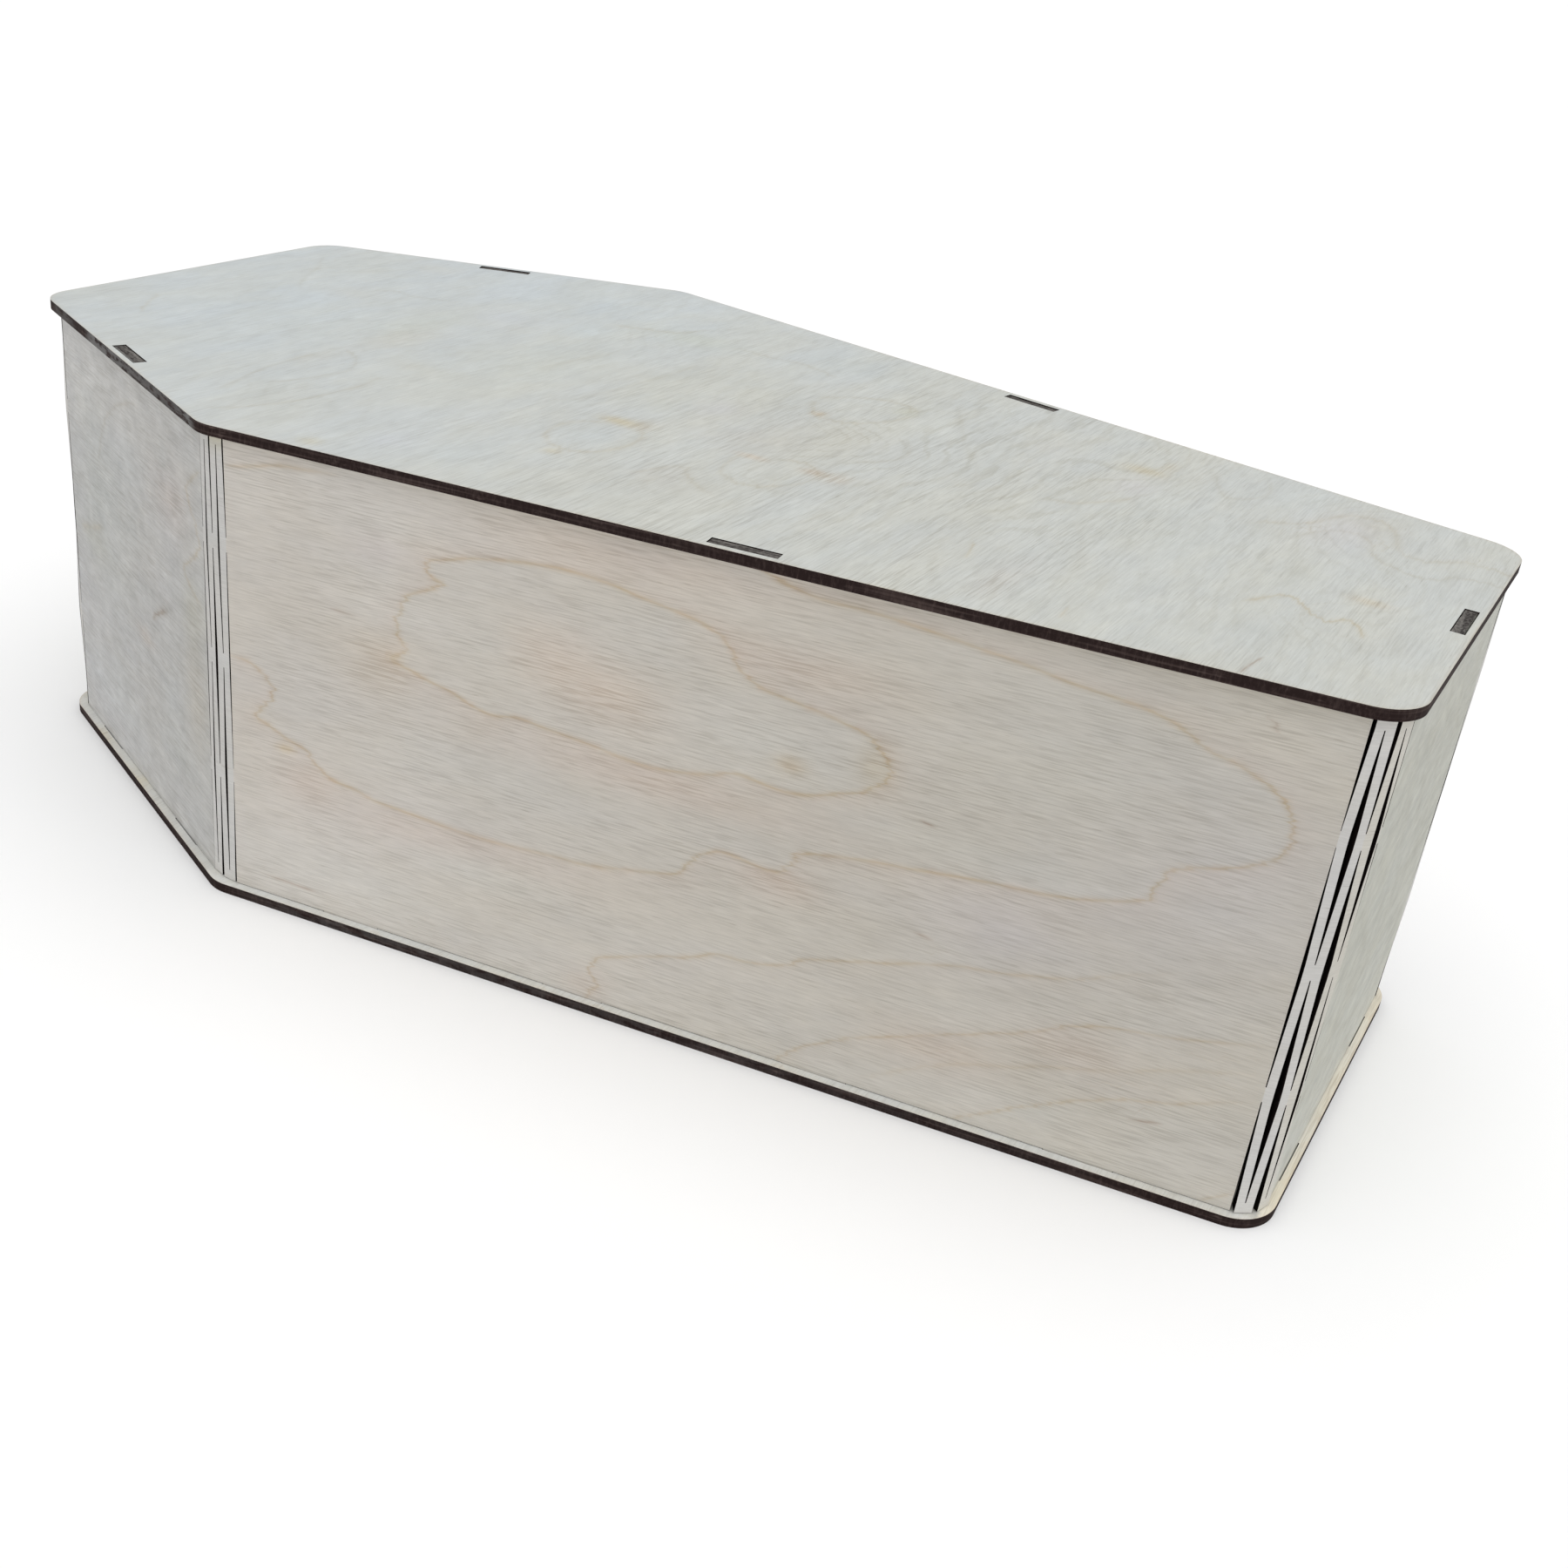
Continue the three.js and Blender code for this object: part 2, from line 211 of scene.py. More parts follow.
# Left panel (head end to shoulder), same measure.
LEFT_RINGS = [
    ring([(48.0, 134.0), (53.0, 142.0), (56.0, 149.0), (60.0, 155.0), (66.0, 162.0), (74.0, 167.0), (84.0, 172.0), (96.0, 176.0), (109.0, 179.4)], 0.85, 0.8, tone=1.0, fade=(8, 12)),
    ring([(174.0, 174.0), (164.0, 168.0), (158.0, 163.0), (160.0, 156.0), (166.0, 150.0), (169.0, 142.0), (160.0, 134.0), (151.0, 127.0), (158.0, 122.0), (171.0, 116.4)], 0.75, 0.7, fade=(4, 6)),
    ring([(110.4, 89.0), (120.0, 95.6), (129.6, 100.6)], 1.5, 0.95, tone=1.5, fade=(3, 2)),
    ring([(19.0, 97.0), (36.0, 102.4), (53.0, 108.0)], 0.6, 1.2, fade=(5, 8)),
]
LEFT_PATCHES = [
    (140, 152, 24, 20, WARM), (160, 112, 13, 16, (-0.02, -0.025, -0.08)), (35, 97, 22, 7, (-0.02, -0.02, -0.05)), (94, 76, 9, 9, (-0.045, -0.04, -0.04)), (132, 165, 11, 8, (-0.06, -0.035, -0.03)), (92, 121, 8, 10, (-0.05, -0.04, -0.035)), (76, 156, 9, 9, (0.04, 0.04, 0.06)), (62, 110, 16, 8, (0.035, 0.035, 0.05)), (122, 108, 13, 8, (0.04, 0.04, 0.055)), (62, 24, 28, 9, (0.05, 0.055, 0.055)), (65, 48, 14, 9, (-0.03, -0.025, -0.035)), (30, 160, 14, 14, (0.03, 0.03, 0.02)), (120, 35, 10, 9, (0.03, 0.035, 0.04)), (140, 40, 16, 10, (-0.02, -0.01, -0.02)), (160, 75, 16, 30, (0.0, -0.02, -0.06)), (100, 77, 12, 5, (0.03, -0.02, -0.06)),
    (85, 150, 22, 13, COOL), (130, 60, 15, 20, COOL), (50, 120, 42, 50, (-0.02, 0.0, -0.02)), (50, 35, 50, 14, COOL),
]

# Lid: mm from the head end, and mm from the middle line towards the back.
LID_RINGS = [
    ring([(321.1, -36.3), (322.1, -49.7), (326.0, -60.3), (334.6, -66.1), (344.2, -63.2), (351.9, -51.6), (353.8, -40.1), (350.0, -32.4), (342.3, -28.6), (330.8, -32.4)], 0.42, 1.0, tone=0.6, fade=(4, 4)),
    ring([(303.8, -88.2), (310.6, -69.0), (314.4, -66.6), (321.1, -74.7), (330.8, -81.5), (339.4, -84.3)], 0.42, 1.0, tone=0.7, fade=(5, 8), halo=-0.3),
    ring([(303.8, 46.4), (306.7, 54.1), (313.5, 61.8), (323.1, 69.5), (334.6, 71.4), (341.3, 67.6), (344.2, 59.9), (340.4, 44.5), (333.6, 33.0), (323.1, 27.2), (315.4, 29.1), (309.6, 36.8), (303.0, 51.0)], 0.4, 1.2, tone=0.6, fade=(6, 6)),
    ring([(355.8, 31.0), (364.4, 15.7), (365.4, 4.1), (359.6, -7.4), (350.0, -15.1)], 0.35, 1.0, tone=0.9, fade=(6, 10)),
    ring([(490.4, 34.9), (494.2, 44.5), (501.9, 50.3), (509.6, 59.9), (513.5, 71.4), (521.1, 81.0), (528.8, 81.0), (535.6, 73.4), (538.5, 63.7), (542.3, 52.2), (551.9, 48.4), (557.7, 54.1), (565.4, 59.9), (578.8, 58.0)], 0.45, 1.2, tone=0.6, fade=(10, 0), halo=0.25),
    ring([(507.7, 33.0), (511.5, 46.4), (517.3, 56.0), (526.0, 58.9), (532.7, 52.2), (534.6, 42.6), (542.3, 33.9), (551.9, 29.7), (559.6, 32.6), (563.5, 39.7), (571.1, 42.6), (579.8, 42.6)], 0.45, 0.9, tone=0.8, fade=(10, 0)),
    ring([(423.1, 4.1), (430.8, 7.0), (438.5, 13.7), (446.1, 25.3), (450.0, 34.9)], 0.4, 1.2, tone=0.5, fade=(6, 8)),
    ring([(512.5, -40.1), (518.3, -28.6), (524.0, -22.8), (530.8, -30.5), (538.5, -36.3), (544.2, -29.5), (549.0, -34.3), (552.3, -43.0)], 0.6, 0.8, tone=0.0, fade=(4, 4)),
    ring([(462.5, 87.8), (475.0, 61.8), (486.5, 75.3), (482.7, 96.4)], 0.4, 0.9, tone=0.9, fade=(5, 5)),
    ring([(424.0, -55.5), (426.9, -65.1), (429.2, -73.8)], 0.5, 0.5, tone=0.0, fade=(4, 4)),
    ring([(470.8, -85.3), (472.3, -98.8)], 0.5, 0.5, tone=0.0, fade=(4, 4)),
    ring([(531.3, -80.1), (530.0, -88.2), (529.2, -97.4)], 0.9, 0.4, tone=2.0, fade=(2, 2)),
    ring([(350.0, 90.7), (373.1, 46.4), (388.5, 23.4), (397.1, 4.1), (400.0, -19.0)], 0.25, 1.2, tone=1.0, fade=(15, 15)),
    ring([(384.6, 100.3), (392.3, 69.5), (400.0, 36.8), (407.7, 8.0)], 0.25, 1.2, tone=1.0, fade=(15, 15)),
    ring([(373.1, -7.4), (375.0, -45.9), (373.1, -84.3), (365.4, -103.6)], 0.25, 1.0, tone=1.0, fade=(15, 15)),
    ring([(134.6, -47.1), (145.3, -52.5), (153.8, -62.1), (157.5, -72.8), (152.8, -94.1), (147.4, -108.0)], 0.45, 0.9, tone=0.8, fade=(5, 8)),
    ring([(169.9, -62.1), (174.1, -81.3), (173.1, -100.5), (170.9, -117.6), (162.4, -136.9), (155.6, -145.0)], 0.45, 0.9, tone=0.8, fade=(6, 5)),
    ring([(132.9, -57.8), (133.5, -87.7), (138.9, -109.1), (143.6, -127.3)], 0.4, 1.1, tone=0.8, fade=(6, 6)),
    ring([(265.0, -45.0), (256.4, -53.5), (255.3, -68.5), (265.0, -81.3), (277.8, -81.3), (285.3, -68.5), (285.3, -51.4), (277.8, -41.8)], 0.4, 1.1, tone=0.4, fade=(4, 4)),
    ring([(26.1, -46.1), (35.3, -61.0), (45.9, -74.9)], 0.25, 0.7, tone=0.0, fade=(5, 5)),
    ring([(16.0, 68.3), (32.1, 46.9), (40.6, 29.8), (49.1, 17.0), (57.3, 8.9)], 0.4, 0.9, tone=1.0, fade=(6, 6)),
    ring([(78.0, 34.1), (85.5, 42.6), (94.0, 40.5), (102.6, 44.8), (112.2, 49.5)], 0.4, 1.0, tone=1.0, fade=(5, 5)),
    ring([(181.6, 75.7), (198.7, 83.2), (210.5, 89.6), (215.8, 106.7)], 0.4, 1.4, tone=0.6, fade=(6, 6)),
    ring([(239.3, 89.6), (260.7, 88.6), (275.6, 90.7), (297.0, 83.2)], 0.4, 1.2, tone=0.8, fade=(6, 6)),
    ring([(210.5, 38.3), (206.2, 12.7), (205.1, -12.9)], 0.3, 1.1, tone=0.9, fade=(8, 8)),
    ring([(245.7, 55.4), (243.6, 8.4), (239.3, -34.3)], 0.3, 1.1, tone=0.9, fade=(10, 10)),
]
BLUE, OLIVE = (-0.012, 0.004, 0.022), (-0.022, -0.022, -0.05)
LID_PATCHES = [
    (80, -20, 80, 95, BLUE), (170, 100, 70, 45, BLUE), (270, -63, 14, 14, BLUE), (505, 82, 16, 28, BLUE),
    (456, 40, 6, 20, BLUE), (250, -115, 16, 20, BLUE), (290, 105, 25, 25, BLUE),
    (130, 5, 12, 42, OLIVE), (200, 5, 34, 62, (-0.014, -0.018, -0.05)), (270, 40, 40, 40, (-0.012, -0.014, -0.03)), (330, 8, 48, 26, (-0.02, -0.03, -0.045)),
    (315, -82, 13, 17, (-0.03, -0.045, -0.06)), (420, -70, 16, 40, (-0.016, -0.024, -0.036)), (470, 5, 40, 30, (-0.008, -0.008, -0.018)), (355, 52, 20, 26, (0.02, 0.02, 0.014)), (300, -40, 20, 30, (0.016, 0.016, 0.012)), (390, 20, 14, 40, (-0.018, -0.02, -0.026)), (410, -20, 10, 46, (-0.014, -0.016, -0.022)), (535, -60, 22, 20, (-0.02, -0.02, -0.026)), (505, 10, 18, 26, (0.012, 0.01, 0.006)), (300, 105, 30, 16, (-0.014, -0.012, -0.016)), (150, -100, 16, 40, (-0.012, -0.014, -0.024)), (55, 70, 20, 24, (-0.012, -0.012, -0.02)),
    (267, -40, 9, 5, (0.0, -0.10, -0.28)), (441, 68, 9, 5.5, (0.0, -0.06, -0.18)), (447, 79, 3, 8, (0.0, -0.04, -0.11)),
    (546, -8, 8, 4, (0.02, -0.05, -0.13)), (325, -37, 7, 3, (0.05, -0.05, -0.13)), (350, -35, 5, 4, (0.04, -0.05, -0.11)),
    (316, 31, 3, 4, (0.03, -0.07, -0.18)), (271, -88, 4, 4, (0.0, -0.06, -0.18)), (207, -144, 5, 5, (0.0, -0.06, -0.18)),
    (52, 64, 6, 13, (0.0, -0.02, -0.06)),
    (138, -20, 13, 26, (0.0, -0.045, -0.11)), (138, -62, 9, 22, (0.0, -0.02, -0.05)), (170, -46, 16, 10, (-0.01, -0.03, -0.07)), (75, 24, 14, 13, (0.0, -0.03, -0.08)),
    (222, 86, 22, 14, (-0.01, -0.014, -0.08)), (276, -38, 8, 9, (0.01, -0.03, -0.09)), (360, -35, 7, 8, (0.03, -0.02, -0.07)), (315, -20, 22, 22, (-0.03, -0.045, -0.05)),
    (445, -82, 8, 24, (-0.02, -0.045, -0.055)), (67, 92, 14, 12, (0.015, -0.01, -0.05)), (402, 66, 8, 16, (-0.04, -0.05, -0.05)), (521, 0, 6, 15, (-0.045, -0.045, -0.055)),
    (515, -48, 5, 20, (-0.035, -0.035, -0.04)), (145, 46, 20, 16, (0.0, 0.01, 0.06)), (182, 58, 14, 14, (0.0, 0.025, 0.055)), (285, 5, 9, 13, (0.0, 0.0, 0.05)), (230, -75, 7, 13, (0.03, 0.04, 0.07)),
    (225, -123, 9, 11, (0.025, 0.025, 0.06)), (520, 58, 16, 28, (0.0, -0.01, 0.045)), (445, 45, 10, 14, (0.0, -0.01, 0.035)), (250, 20, 10, 34, (-0.016, -0.014, -0.02)), (265, -8, 14, 16, (-0.02, -0.025, -0.05)),
    (526, 72, 9, 14, (0.0, -0.02, -0.05)), (340, 62, 5, 8, (-0.02, -0.02, -0.08)),
]


# ---------------------------------------------------------------- materials
def node(tree, kind, inputs=None, **settings):
    n = tree.nodes.new(kind)
    for k, v in settings.items():
        setattr(n, k, v)
    for k, v in (inputs or {}).items():
        if isinstance(v, bpy.types.NodeSocket):
            tree.links.new(v, n.inputs[k])
        else:
            n.inputs[k].default_value = v
    return n


def maths(tree, op, a, b=None, c=None):
    n = node(tree, "ShaderNodeMath", operation=op)
    for k, v in enumerate((a, b, c)):
        if v is None:
            continue
        if isinstance(v, bpy.types.NodeSocket):
            tree.links.new(v, n.inputs[k])
        else:
            n.inputs[k].default_value = v
    return n.outputs[0]


def vmaths(tree, op, a, b=None, scale=None):
    n = node(tree, "ShaderNodeVectorMath", operation=op)
    for k, v in (("Vector", a),):
        tree.links.new(v, n.inputs[0])
    if b is not None:
        if isinstance(b, bpy.types.NodeSocket):
            tree.links.new(b, n.inputs[1])
        else:
            n.inputs[1].default_value = b
    if scale is not None:
        tree.links.new(scale, n.inputs["Scale"])
    return n.outputs[0]


def ramp(tree, x, lo, hi, out_lo=0.0, out_hi=1.0):
    n = node(tree, "ShaderNodeMapRange", interpolation_type="SMOOTHSTEP")
    tree.links.new(x, n.inputs["Value"])
    n.inputs["From Min"].default_value, n.inputs["From Max"].default_value = lo, hi
    n.inputs["To Min"].default_value, n.inputs["To Max"].default_value = out_lo, out_hi
    return n.outputs[0]


def noise(tree, where, scale, detail=2.0, rough=0.5, shift=(0.0, 0.0, 0.0)):
    """Noise stretched along the grain; scale is 1/m along the grain, across it and into the sheet."""
    m = node(tree, "ShaderNodeMapping", {"Location": shift, "Scale": scale})
    tree.links.new(where, m.inputs["Vector"])
    n = node(tree, "ShaderNodeTexNoise", {"Scale": 1.0, "Detail": detail, "Roughness": rough}, noise_dimensions="3D")
    tree.links.new(m.outputs[0], n.inputs["Vector"])
    return n.outputs["Fac"]


def blend(tree, factor, a, b):
    n = node(tree, "ShaderNodeMix", data_type="VECTOR", clamp_factor=True)
    vec = [i for i in n.inputs if i.type == "VECTOR" and i.name in "AB"]
    tree.links.new(factor, n.inputs[0])
    tree.links.new(a, vec[0])
    tree.links.new(b, vec[1])
    return [o for o in n.outputs if o.type == "VECTOR"][0]


def veneer(name, colour, seed, streak=1.0, cloud=1.0, drift=1.0, contours=0.0):
    mat = bpy.data.materials.new(name)
    mat.use_nodes = True
    t = mat.node_tree
    t.nodes.clear()
    out = node(t, "ShaderNodeOutputMaterial")
    skin = node(t, "ShaderNodeBsdfPrincipled", {"Roughness": 0.62, "Specular IOR Level": 0.25})
    t.links.new(skin.outputs[0], out.inputs[0])
    flat = node(t, "ShaderNodeAttribute", attribute_name="flat").outputs["Vector"]
    line = node(t, "ShaderNodeAttribute", attribute_name="line").outputs["Vector"]
    tint = node(t, "ShaderNodeAttribute", attribute_name="tint").outputs["Vector"]
    more = node(t, "ShaderNodeAttribute", attribute_name="more").outputs["Vector"]
    field = node(t, "ShaderNodeAttribute", attribute_name="field").outputs["Vector"]
    at = node(t, "ShaderNodeSeparateXYZ", {0: line})
    extra = node(t, "ShaderNodeSeparateXYZ", {0: more})
    growth = node(t, "ShaderNodeSeparateXYZ", {0: field})
    lean, pink = extra.outputs[0], extra.outputs[1]

    s = (seed * 3.7, seed * 5.1, seed * 2.3)
    dash = noise(t, flat, (60, 1700, 1), 2.0, 0.6, s)
    fine = noise(t, flat, (110, 2100, 1), 2.0, 0.6, (s[1], s[2], 2.0))
    pore = noise(t, flat, (130, 1300, 1), 1.0, 0.5, (s[1], s[0], 4.0))
    band = noise(t, flat, (11, 150, 1), 3.0, 0.55, (s[2], s[0], 9.0))
    fog = noise(t, flat, (22, 38, 1), 4.0, 0.62, (s[0], s[2], 14.0))
    hue = noise(t, flat, (13, 27, 1), 4.0, 0.62, (s[1], s[2], 21.0))
    patch = noise(t, flat, (14, 40, 1), 2.0, 0.5, (s[2], s[1], 27.0))

    # Tone: fine grain, wider bands and soft clouds.
    tone = maths(t, "MULTIPLY_ADD", fine, 0.26 * streak, 1.0 - 0.13 * streak)
    tone = maths(t, "MULTIPLY", tone, maths(t, "MULTIPLY_ADD", band, 0.08 * streak, 1.0 - 0.04 * streak))
    tone = maths(t, "MULTIPLY", tone, maths(t, "MULTIPLY_ADD", fog, 0.20 * cloud, 1.0 - 0.10 * cloud))

    mottle = maths(t, "SUBTRACT", noise(t, flat, (75, 120, 1), 4.0, 0.68, (s[0], s[1], 37.0)), 0.5)
    tone = maths(t, "MULTIPLY", tone, maths(t, "MULTIPLY_ADD", mottle, growth.outputs[2], 1.0))

    # Warm and cool drift over the sheet, then the placed tints.
    warm = node(t, "ShaderNodeMix", data_type="RGBA")
    pair = [i for i in warm.inputs if i.type == "RGBA"]
    pair[0].default_value = tuple(c * (1 + drift * k) for c, k in zip(colour, (-0.016, 0.003, 0.026))) + (1,)
    pair[1].default_value = tuple(c * (1 + drift * k) for c, k in zip(colour, (0.008, 0.0, -0.034))) + (1,)
    t.links.new(ramp(t, hue, 0.34, 0.66), warm.inputs["Factor"])
    mixed = [o for o in warm.outputs if o.type == "RGBA"][0]
    body = vmaths(t, "MULTIPLY", mixed, vmaths(t, "ADD", tint, (1.0, 1.0, 1.0)))
    body = vmaths(t, "SCALE", body, scale=tone)

    # Short dark streaks along the grain, gathered in loose patches, and a few darker pores.
    gather = maths(t, "MULTIPLY_ADD", ramp(t, patch, 0.35, 0.65), 0.5, 0.65)
    gather = maths(t, "MULTIPLY", gather, maths(t, "MULTIPLY_ADD", pink, 0.6, 0.85))
    dark = maths(t, "MULTIPLY", ramp(t, dash, 0.42, 0.70, 0.0, streak), gather)
    body = blend(t, dark, body, vmaths(t, "MULTIPLY", body, (0.815, 0.806, 0.792)))
    body = blend(t, maths(t, "MULTIPLY", dark, pink), body, vmaths(t, "MULTIPLY", body, (0.985, 0.95, 0.92)))
    body = blend(t, ramp(t, pore, 0.66, 0.80, 0.0, 0.8 * streak), body, vmaths(t, "MULTIPLY", body, (0.85, 0.835, 0.81)))

    # Growth contours: soft rings and waves where the sheet was peeled through the year rings.
    if contours:
        wander = noise(t, flat, (55, 300, 1), 2.0, 0.6, (s[0], s[1], 51.0))
        phase = maths(t, "MULTIPLY_ADD", maths(t, "SUBTRACT", wander, 0.5), 1.0, growth.outputs[0])
        wave = maths(t, "SINE", maths(t, "MULTIPLY", phase, 2 * math.pi))
        mark = maths(t, "MULTIPLY", ramp(t, wave, 0.45, 1.0, 0.0, contours), growth.outputs[1])
        broken = noise(t, flat, (26, 60, 1), 3.0, 0.6, (s[2], s[0], 61.0))
        mark = maths(t, "MULTIPLY", mark, ramp(t, broken, 0.30, 0.54))
        body = blend(t, mark, body, vmaths(t, "MULTIPLY", body, (0.885, 0.87, 0.835)))

    # Figure lines: a ragged core with a softer edge, drawn out along the grain.
    rag = noise(t, flat, (40, 520, 1), 2.0, 0.6, (s[2], s[1], 31.0))
    shift = maths(t, "MULTIPLY", maths(t, "SUBTRACT", rag, 0.5), 8.0)
    fray = maths(t, "MULTIPLY", maths(t, "SUBTRACT", fine, 0.5), 1.6)
    off = maths(t, "MULTIPLY_ADD", lean, shift, maths(t, "ADD", at.outputs[0], fray))
    gap = maths(t, "ABSOLUTE", off)
    weight = maths(t, "ADD", ramp(t, gap, 0.2, 1.3, 0.52, 0.0), ramp(t, gap, 0.6, 3.6, 0.32, 0.0))
    worn = maths(t, "MULTIPLY_ADD", noise(t, flat, (50, 140, 1), 2.0, 0.6, (s[0], s[1], 43.0)), 1.7, 0.02)
    weight = maths(t, "MULTIPLY", maths(t, "MULTIPLY", weight, at.outputs[1]), worn)
    weight = maths(t, "MINIMUM", weight, 1.0)
    tan = vmaths(t, "MULTIPLY", body, (0.885, 0.795, 0.66))
    grey = vmaths(t, "MULTIPLY", body, (0.88, 0.855, 0.81))
    fleck = vmaths(t, "MULTIPLY", body, (0.58, 0.44, 0.36))
    kind = blend(t, at.outputs[2], tan, grey)
    kind = blend(t, ramp(t, at.outputs[2], 1.2, 1.9), kind, fleck)
    final = blend(t, weight, body, kind)

    t.links.new(final, skin.inputs["Base Color"])
    t.links.new(ramp(t, dash, 0.3, 0.7, 0.72, 0.56), skin.inputs["Roughness"])
    bump = node(t, "ShaderNodeBump", {"Strength": 0.15, "Distance": 0.0002, "Height": dash})
    t.links.new(bump.outputs[0], skin.inputs["Normal"])
    return mat


def charred(name, seed, lift=1.0):
    """A laser-cut edge: dark reddish brown, sootier or scuffed grey in places."""
    mat = bpy.data.materials.new(name)
    mat.use_nodes = True
    t = mat.node_tree
    t.nodes.clear()
    out = node(t, "ShaderNodeOutputMaterial")
    skin = node(t, "ShaderNodeBsdfPrincipled", {"Roughness": 0.75, "Specular IOR Level": 0.06})
    t.links.new(skin.outputs[0], out.inputs[0])
    flat = node(t, "ShaderNodeAttribute", attribute_name="flat").outputs["Vector"]
    more = node(t, "ShaderNodeAttribute", attribute_name="more").outputs["Vector"]
    soot = node(t, "ShaderNodeSeparateXYZ", {0: more}).outputs[2]
    grain = noise(t, flat, (900, 900, 300), 3.0, 0.65, (seed, 2.0, 3.0))
    scuff = noise(t, flat, (130, 130, 500), 3.0, 0.6, (seed, 7.0, 8.0))
    ply = noise(t, flat, (25, 25, 900), 1.0, 0.5, (seed, 11.0, 5.0))
    mix = node(t, "ShaderNodeMix", data_type="RGBA", clamp_factor=True)
    rgba = [i for i in mix.inputs if i.type == "RGBA"]
    rgba[0].default_value = (0.021 * lift, 0.0125 * lift, 0.0118 * lift, 1)
    rgba[1].default_value = (0.092 * lift, 0.066 * lift, 0.060 * lift, 1)
    amount = maths(t, "ADD", ramp(t, grain, 0.42, 0.85, 0.0, 0.45), ramp(t, scuff, 0.60, 0.80, 0.0, 0.7))
    amount = maths(t, "ADD", amount, ramp(t, ply, 0.48, 0.72, 0.0, 0.42))
    t.links.new(amount, mix.inputs["Factor"])
    brown = [o for o in mix.outputs if o.type == "RGBA"][0]
    rub = maths(t, "MULTIPLY", maths(t, "MAXIMUM", soot, 0.0), ramp(t, scuff, 0.36, 0.56))
    worn = node(t, "ShaderNodeMix", data_type="RGBA", clamp_factor=True)
    rgba = [i for i in worn.inputs if i.type == "RGBA"]
    t.links.new(brown, rgba[0])
    rgba[1].default_value = (0.19, 0.188, 0.185, 1)
    t.links.new(rub, worn.inputs["Factor"])
    black = maths(t, "MULTIPLY", maths(t, "MINIMUM", soot, 0.0), maths(t, "MULTIPLY_ADD", scuff, -1.0, -0.4))
    sooty = node(t, "ShaderNodeMix", data_type="RGBA", clamp_factor=True)
    rgba = [i for i in sooty.inputs if i.type == "RGBA"]
    t.links.new([o for o in worn.outputs if o.type == "RGBA"][0], rgba[0])
    rgba[1].default_value = (0.007, 0.007, 0.009, 1)
    t.links.new(black, sooty.inputs["Factor"])
    t.links.new([o for o in sooty.outputs if o.type == "RGBA"][0], skin.inputs["Base Color"])
    bump = node(t, "ShaderNodeBump", {"Strength": 0.25, "Distance": 0.0003, "Height": grain})
    t.links.new(bump.outputs[0], skin.inputs["Normal"])
    return mat


def tab_end(name):
    """The cut end of a tab: smoky grey, speckled, paler towards the inside of the wall."""
    mat = bpy.data.materials.new(name)
    mat.use_nodes = True
    t = mat.node_tree
    t.nodes.clear()
    out = node(t, "ShaderNodeOutputMaterial")
    skin = node(t, "ShaderNodeBsdfPrincipled", {"Roughness": 0.8, "Specular IOR Level": 0.2})
    t.links.new(skin.outputs[0], out.inputs[0])
    flat = node(t, "ShaderNodeAttribute", attribute_name="flat").outputs["Vector"]
    depth = node(t, "ShaderNodeSeparateXYZ", {0: flat}).outputs[2]
    speck = noise(t, flat, (620, 1, 1100), 3.0, 0.65, (3.0, 1.0, 5.0))
    streak = noise(t, flat, (90, 1, 900), 2.0, 0.6, (8.0, 1.0, 2.0))
    mix = node(t, "ShaderNodeMix", data_type="RGBA", clamp_factor=True)
    rgba = [i for i in mix.inputs if i.type == "RGBA"]
    rgba[0].default_value = (0.235, 0.222, 0.205, 1)
    rgba[1].default_value = (0.034, 0.029, 0.027, 1)
    smoke = maths(t, "ADD", ramp(t, depth, 0.0012, 0.0044, 0.42, 0.12), ramp(t, speck, 0.34, 0.66, 0.0, 0.5))
    t.links.new(maths(t, "ADD", smoke, ramp(t, streak, 0.42, 0.62, 0.0, 0.32)), mix.inputs["Factor"])
    t.links.new([o for o in mix.outputs if o.type == "RGBA"][0], skin.inputs["Base Color"])
    return mat


BIRCH_LID = (0.56, 0.572, 0.55)
BIRCH_WALL = (0.575, 0.573, 0.55)
BIRCH_BASE = (0.60, 0.59, 0.545)


# ---------------------------------------------------------------- meshes
def make(name, verts, faces, mats, flags, attributes):
    mesh = bpy.data.meshes.new(name)
    mesh.from_pydata([tuple(v) for v in np.asarray(verts) * 0.001], [], faces)
    for m in mats:
        mesh.materials.append(m)
    mesh.polygons.foreach_set("material_index", np.asarray(flags, np.int32))
    mesh.polygons.foreach_set("use_smooth", np.zeros(len(faces), bool))
    for key, data in attributes.items():
        a = mesh.attributes.new(key, "FLOAT_VECTOR", "POINT")
        a.data.foreach_set("vector", np.asarray(data, np.float32).ravel())
    mesh.validate()
    mesh.update()
    obj = bpy.data.objects.new(name, mesh)
    bpy.context.scene.collection.objects.link(obj)
    return obj


def outline(inset=0.0, steps=22):
    """The sheet's outline with rounded corners, drawn in by inset."""
    out = []
    for i in range(6):
        half = TURN[i] / 2
        c = CORNERS[i] + INWARD[i - 1] * RADIUS - ALONG[i - 1] * RADIUS * math.tan(half)
        a0 = math.atan2(-INWARD[i - 1][1], -INWARD[i - 1][0])
        for k in range(steps + 1):
            a = a0 + TURN[i] * k / steps
            out.append(c + (RADIUS - inset) * np.array([math.cos(a), math.sin(a)]))
    return np.array(out)


def slot_corners(i, middle, near):
    a = CORNERS[i] + ALONG[i] * (middle - SLOT / 2)
    b = CORNERS[i] + ALONG[i] * (middle + SLOT / 2)
    return np.array([a + INWARD[i] * near, b + INWARD[i] * near, b + INWARD[i] * SLOT_FAR[i], a + INWARD[i] * SLOT_FAR[i]])


def edge_distance(points):
    """How far inside the sheet's straight sides the points are."""
    return np.min([(points - CORNERS[i]) @ INWARD[i] for i in range(6)], axis=0)


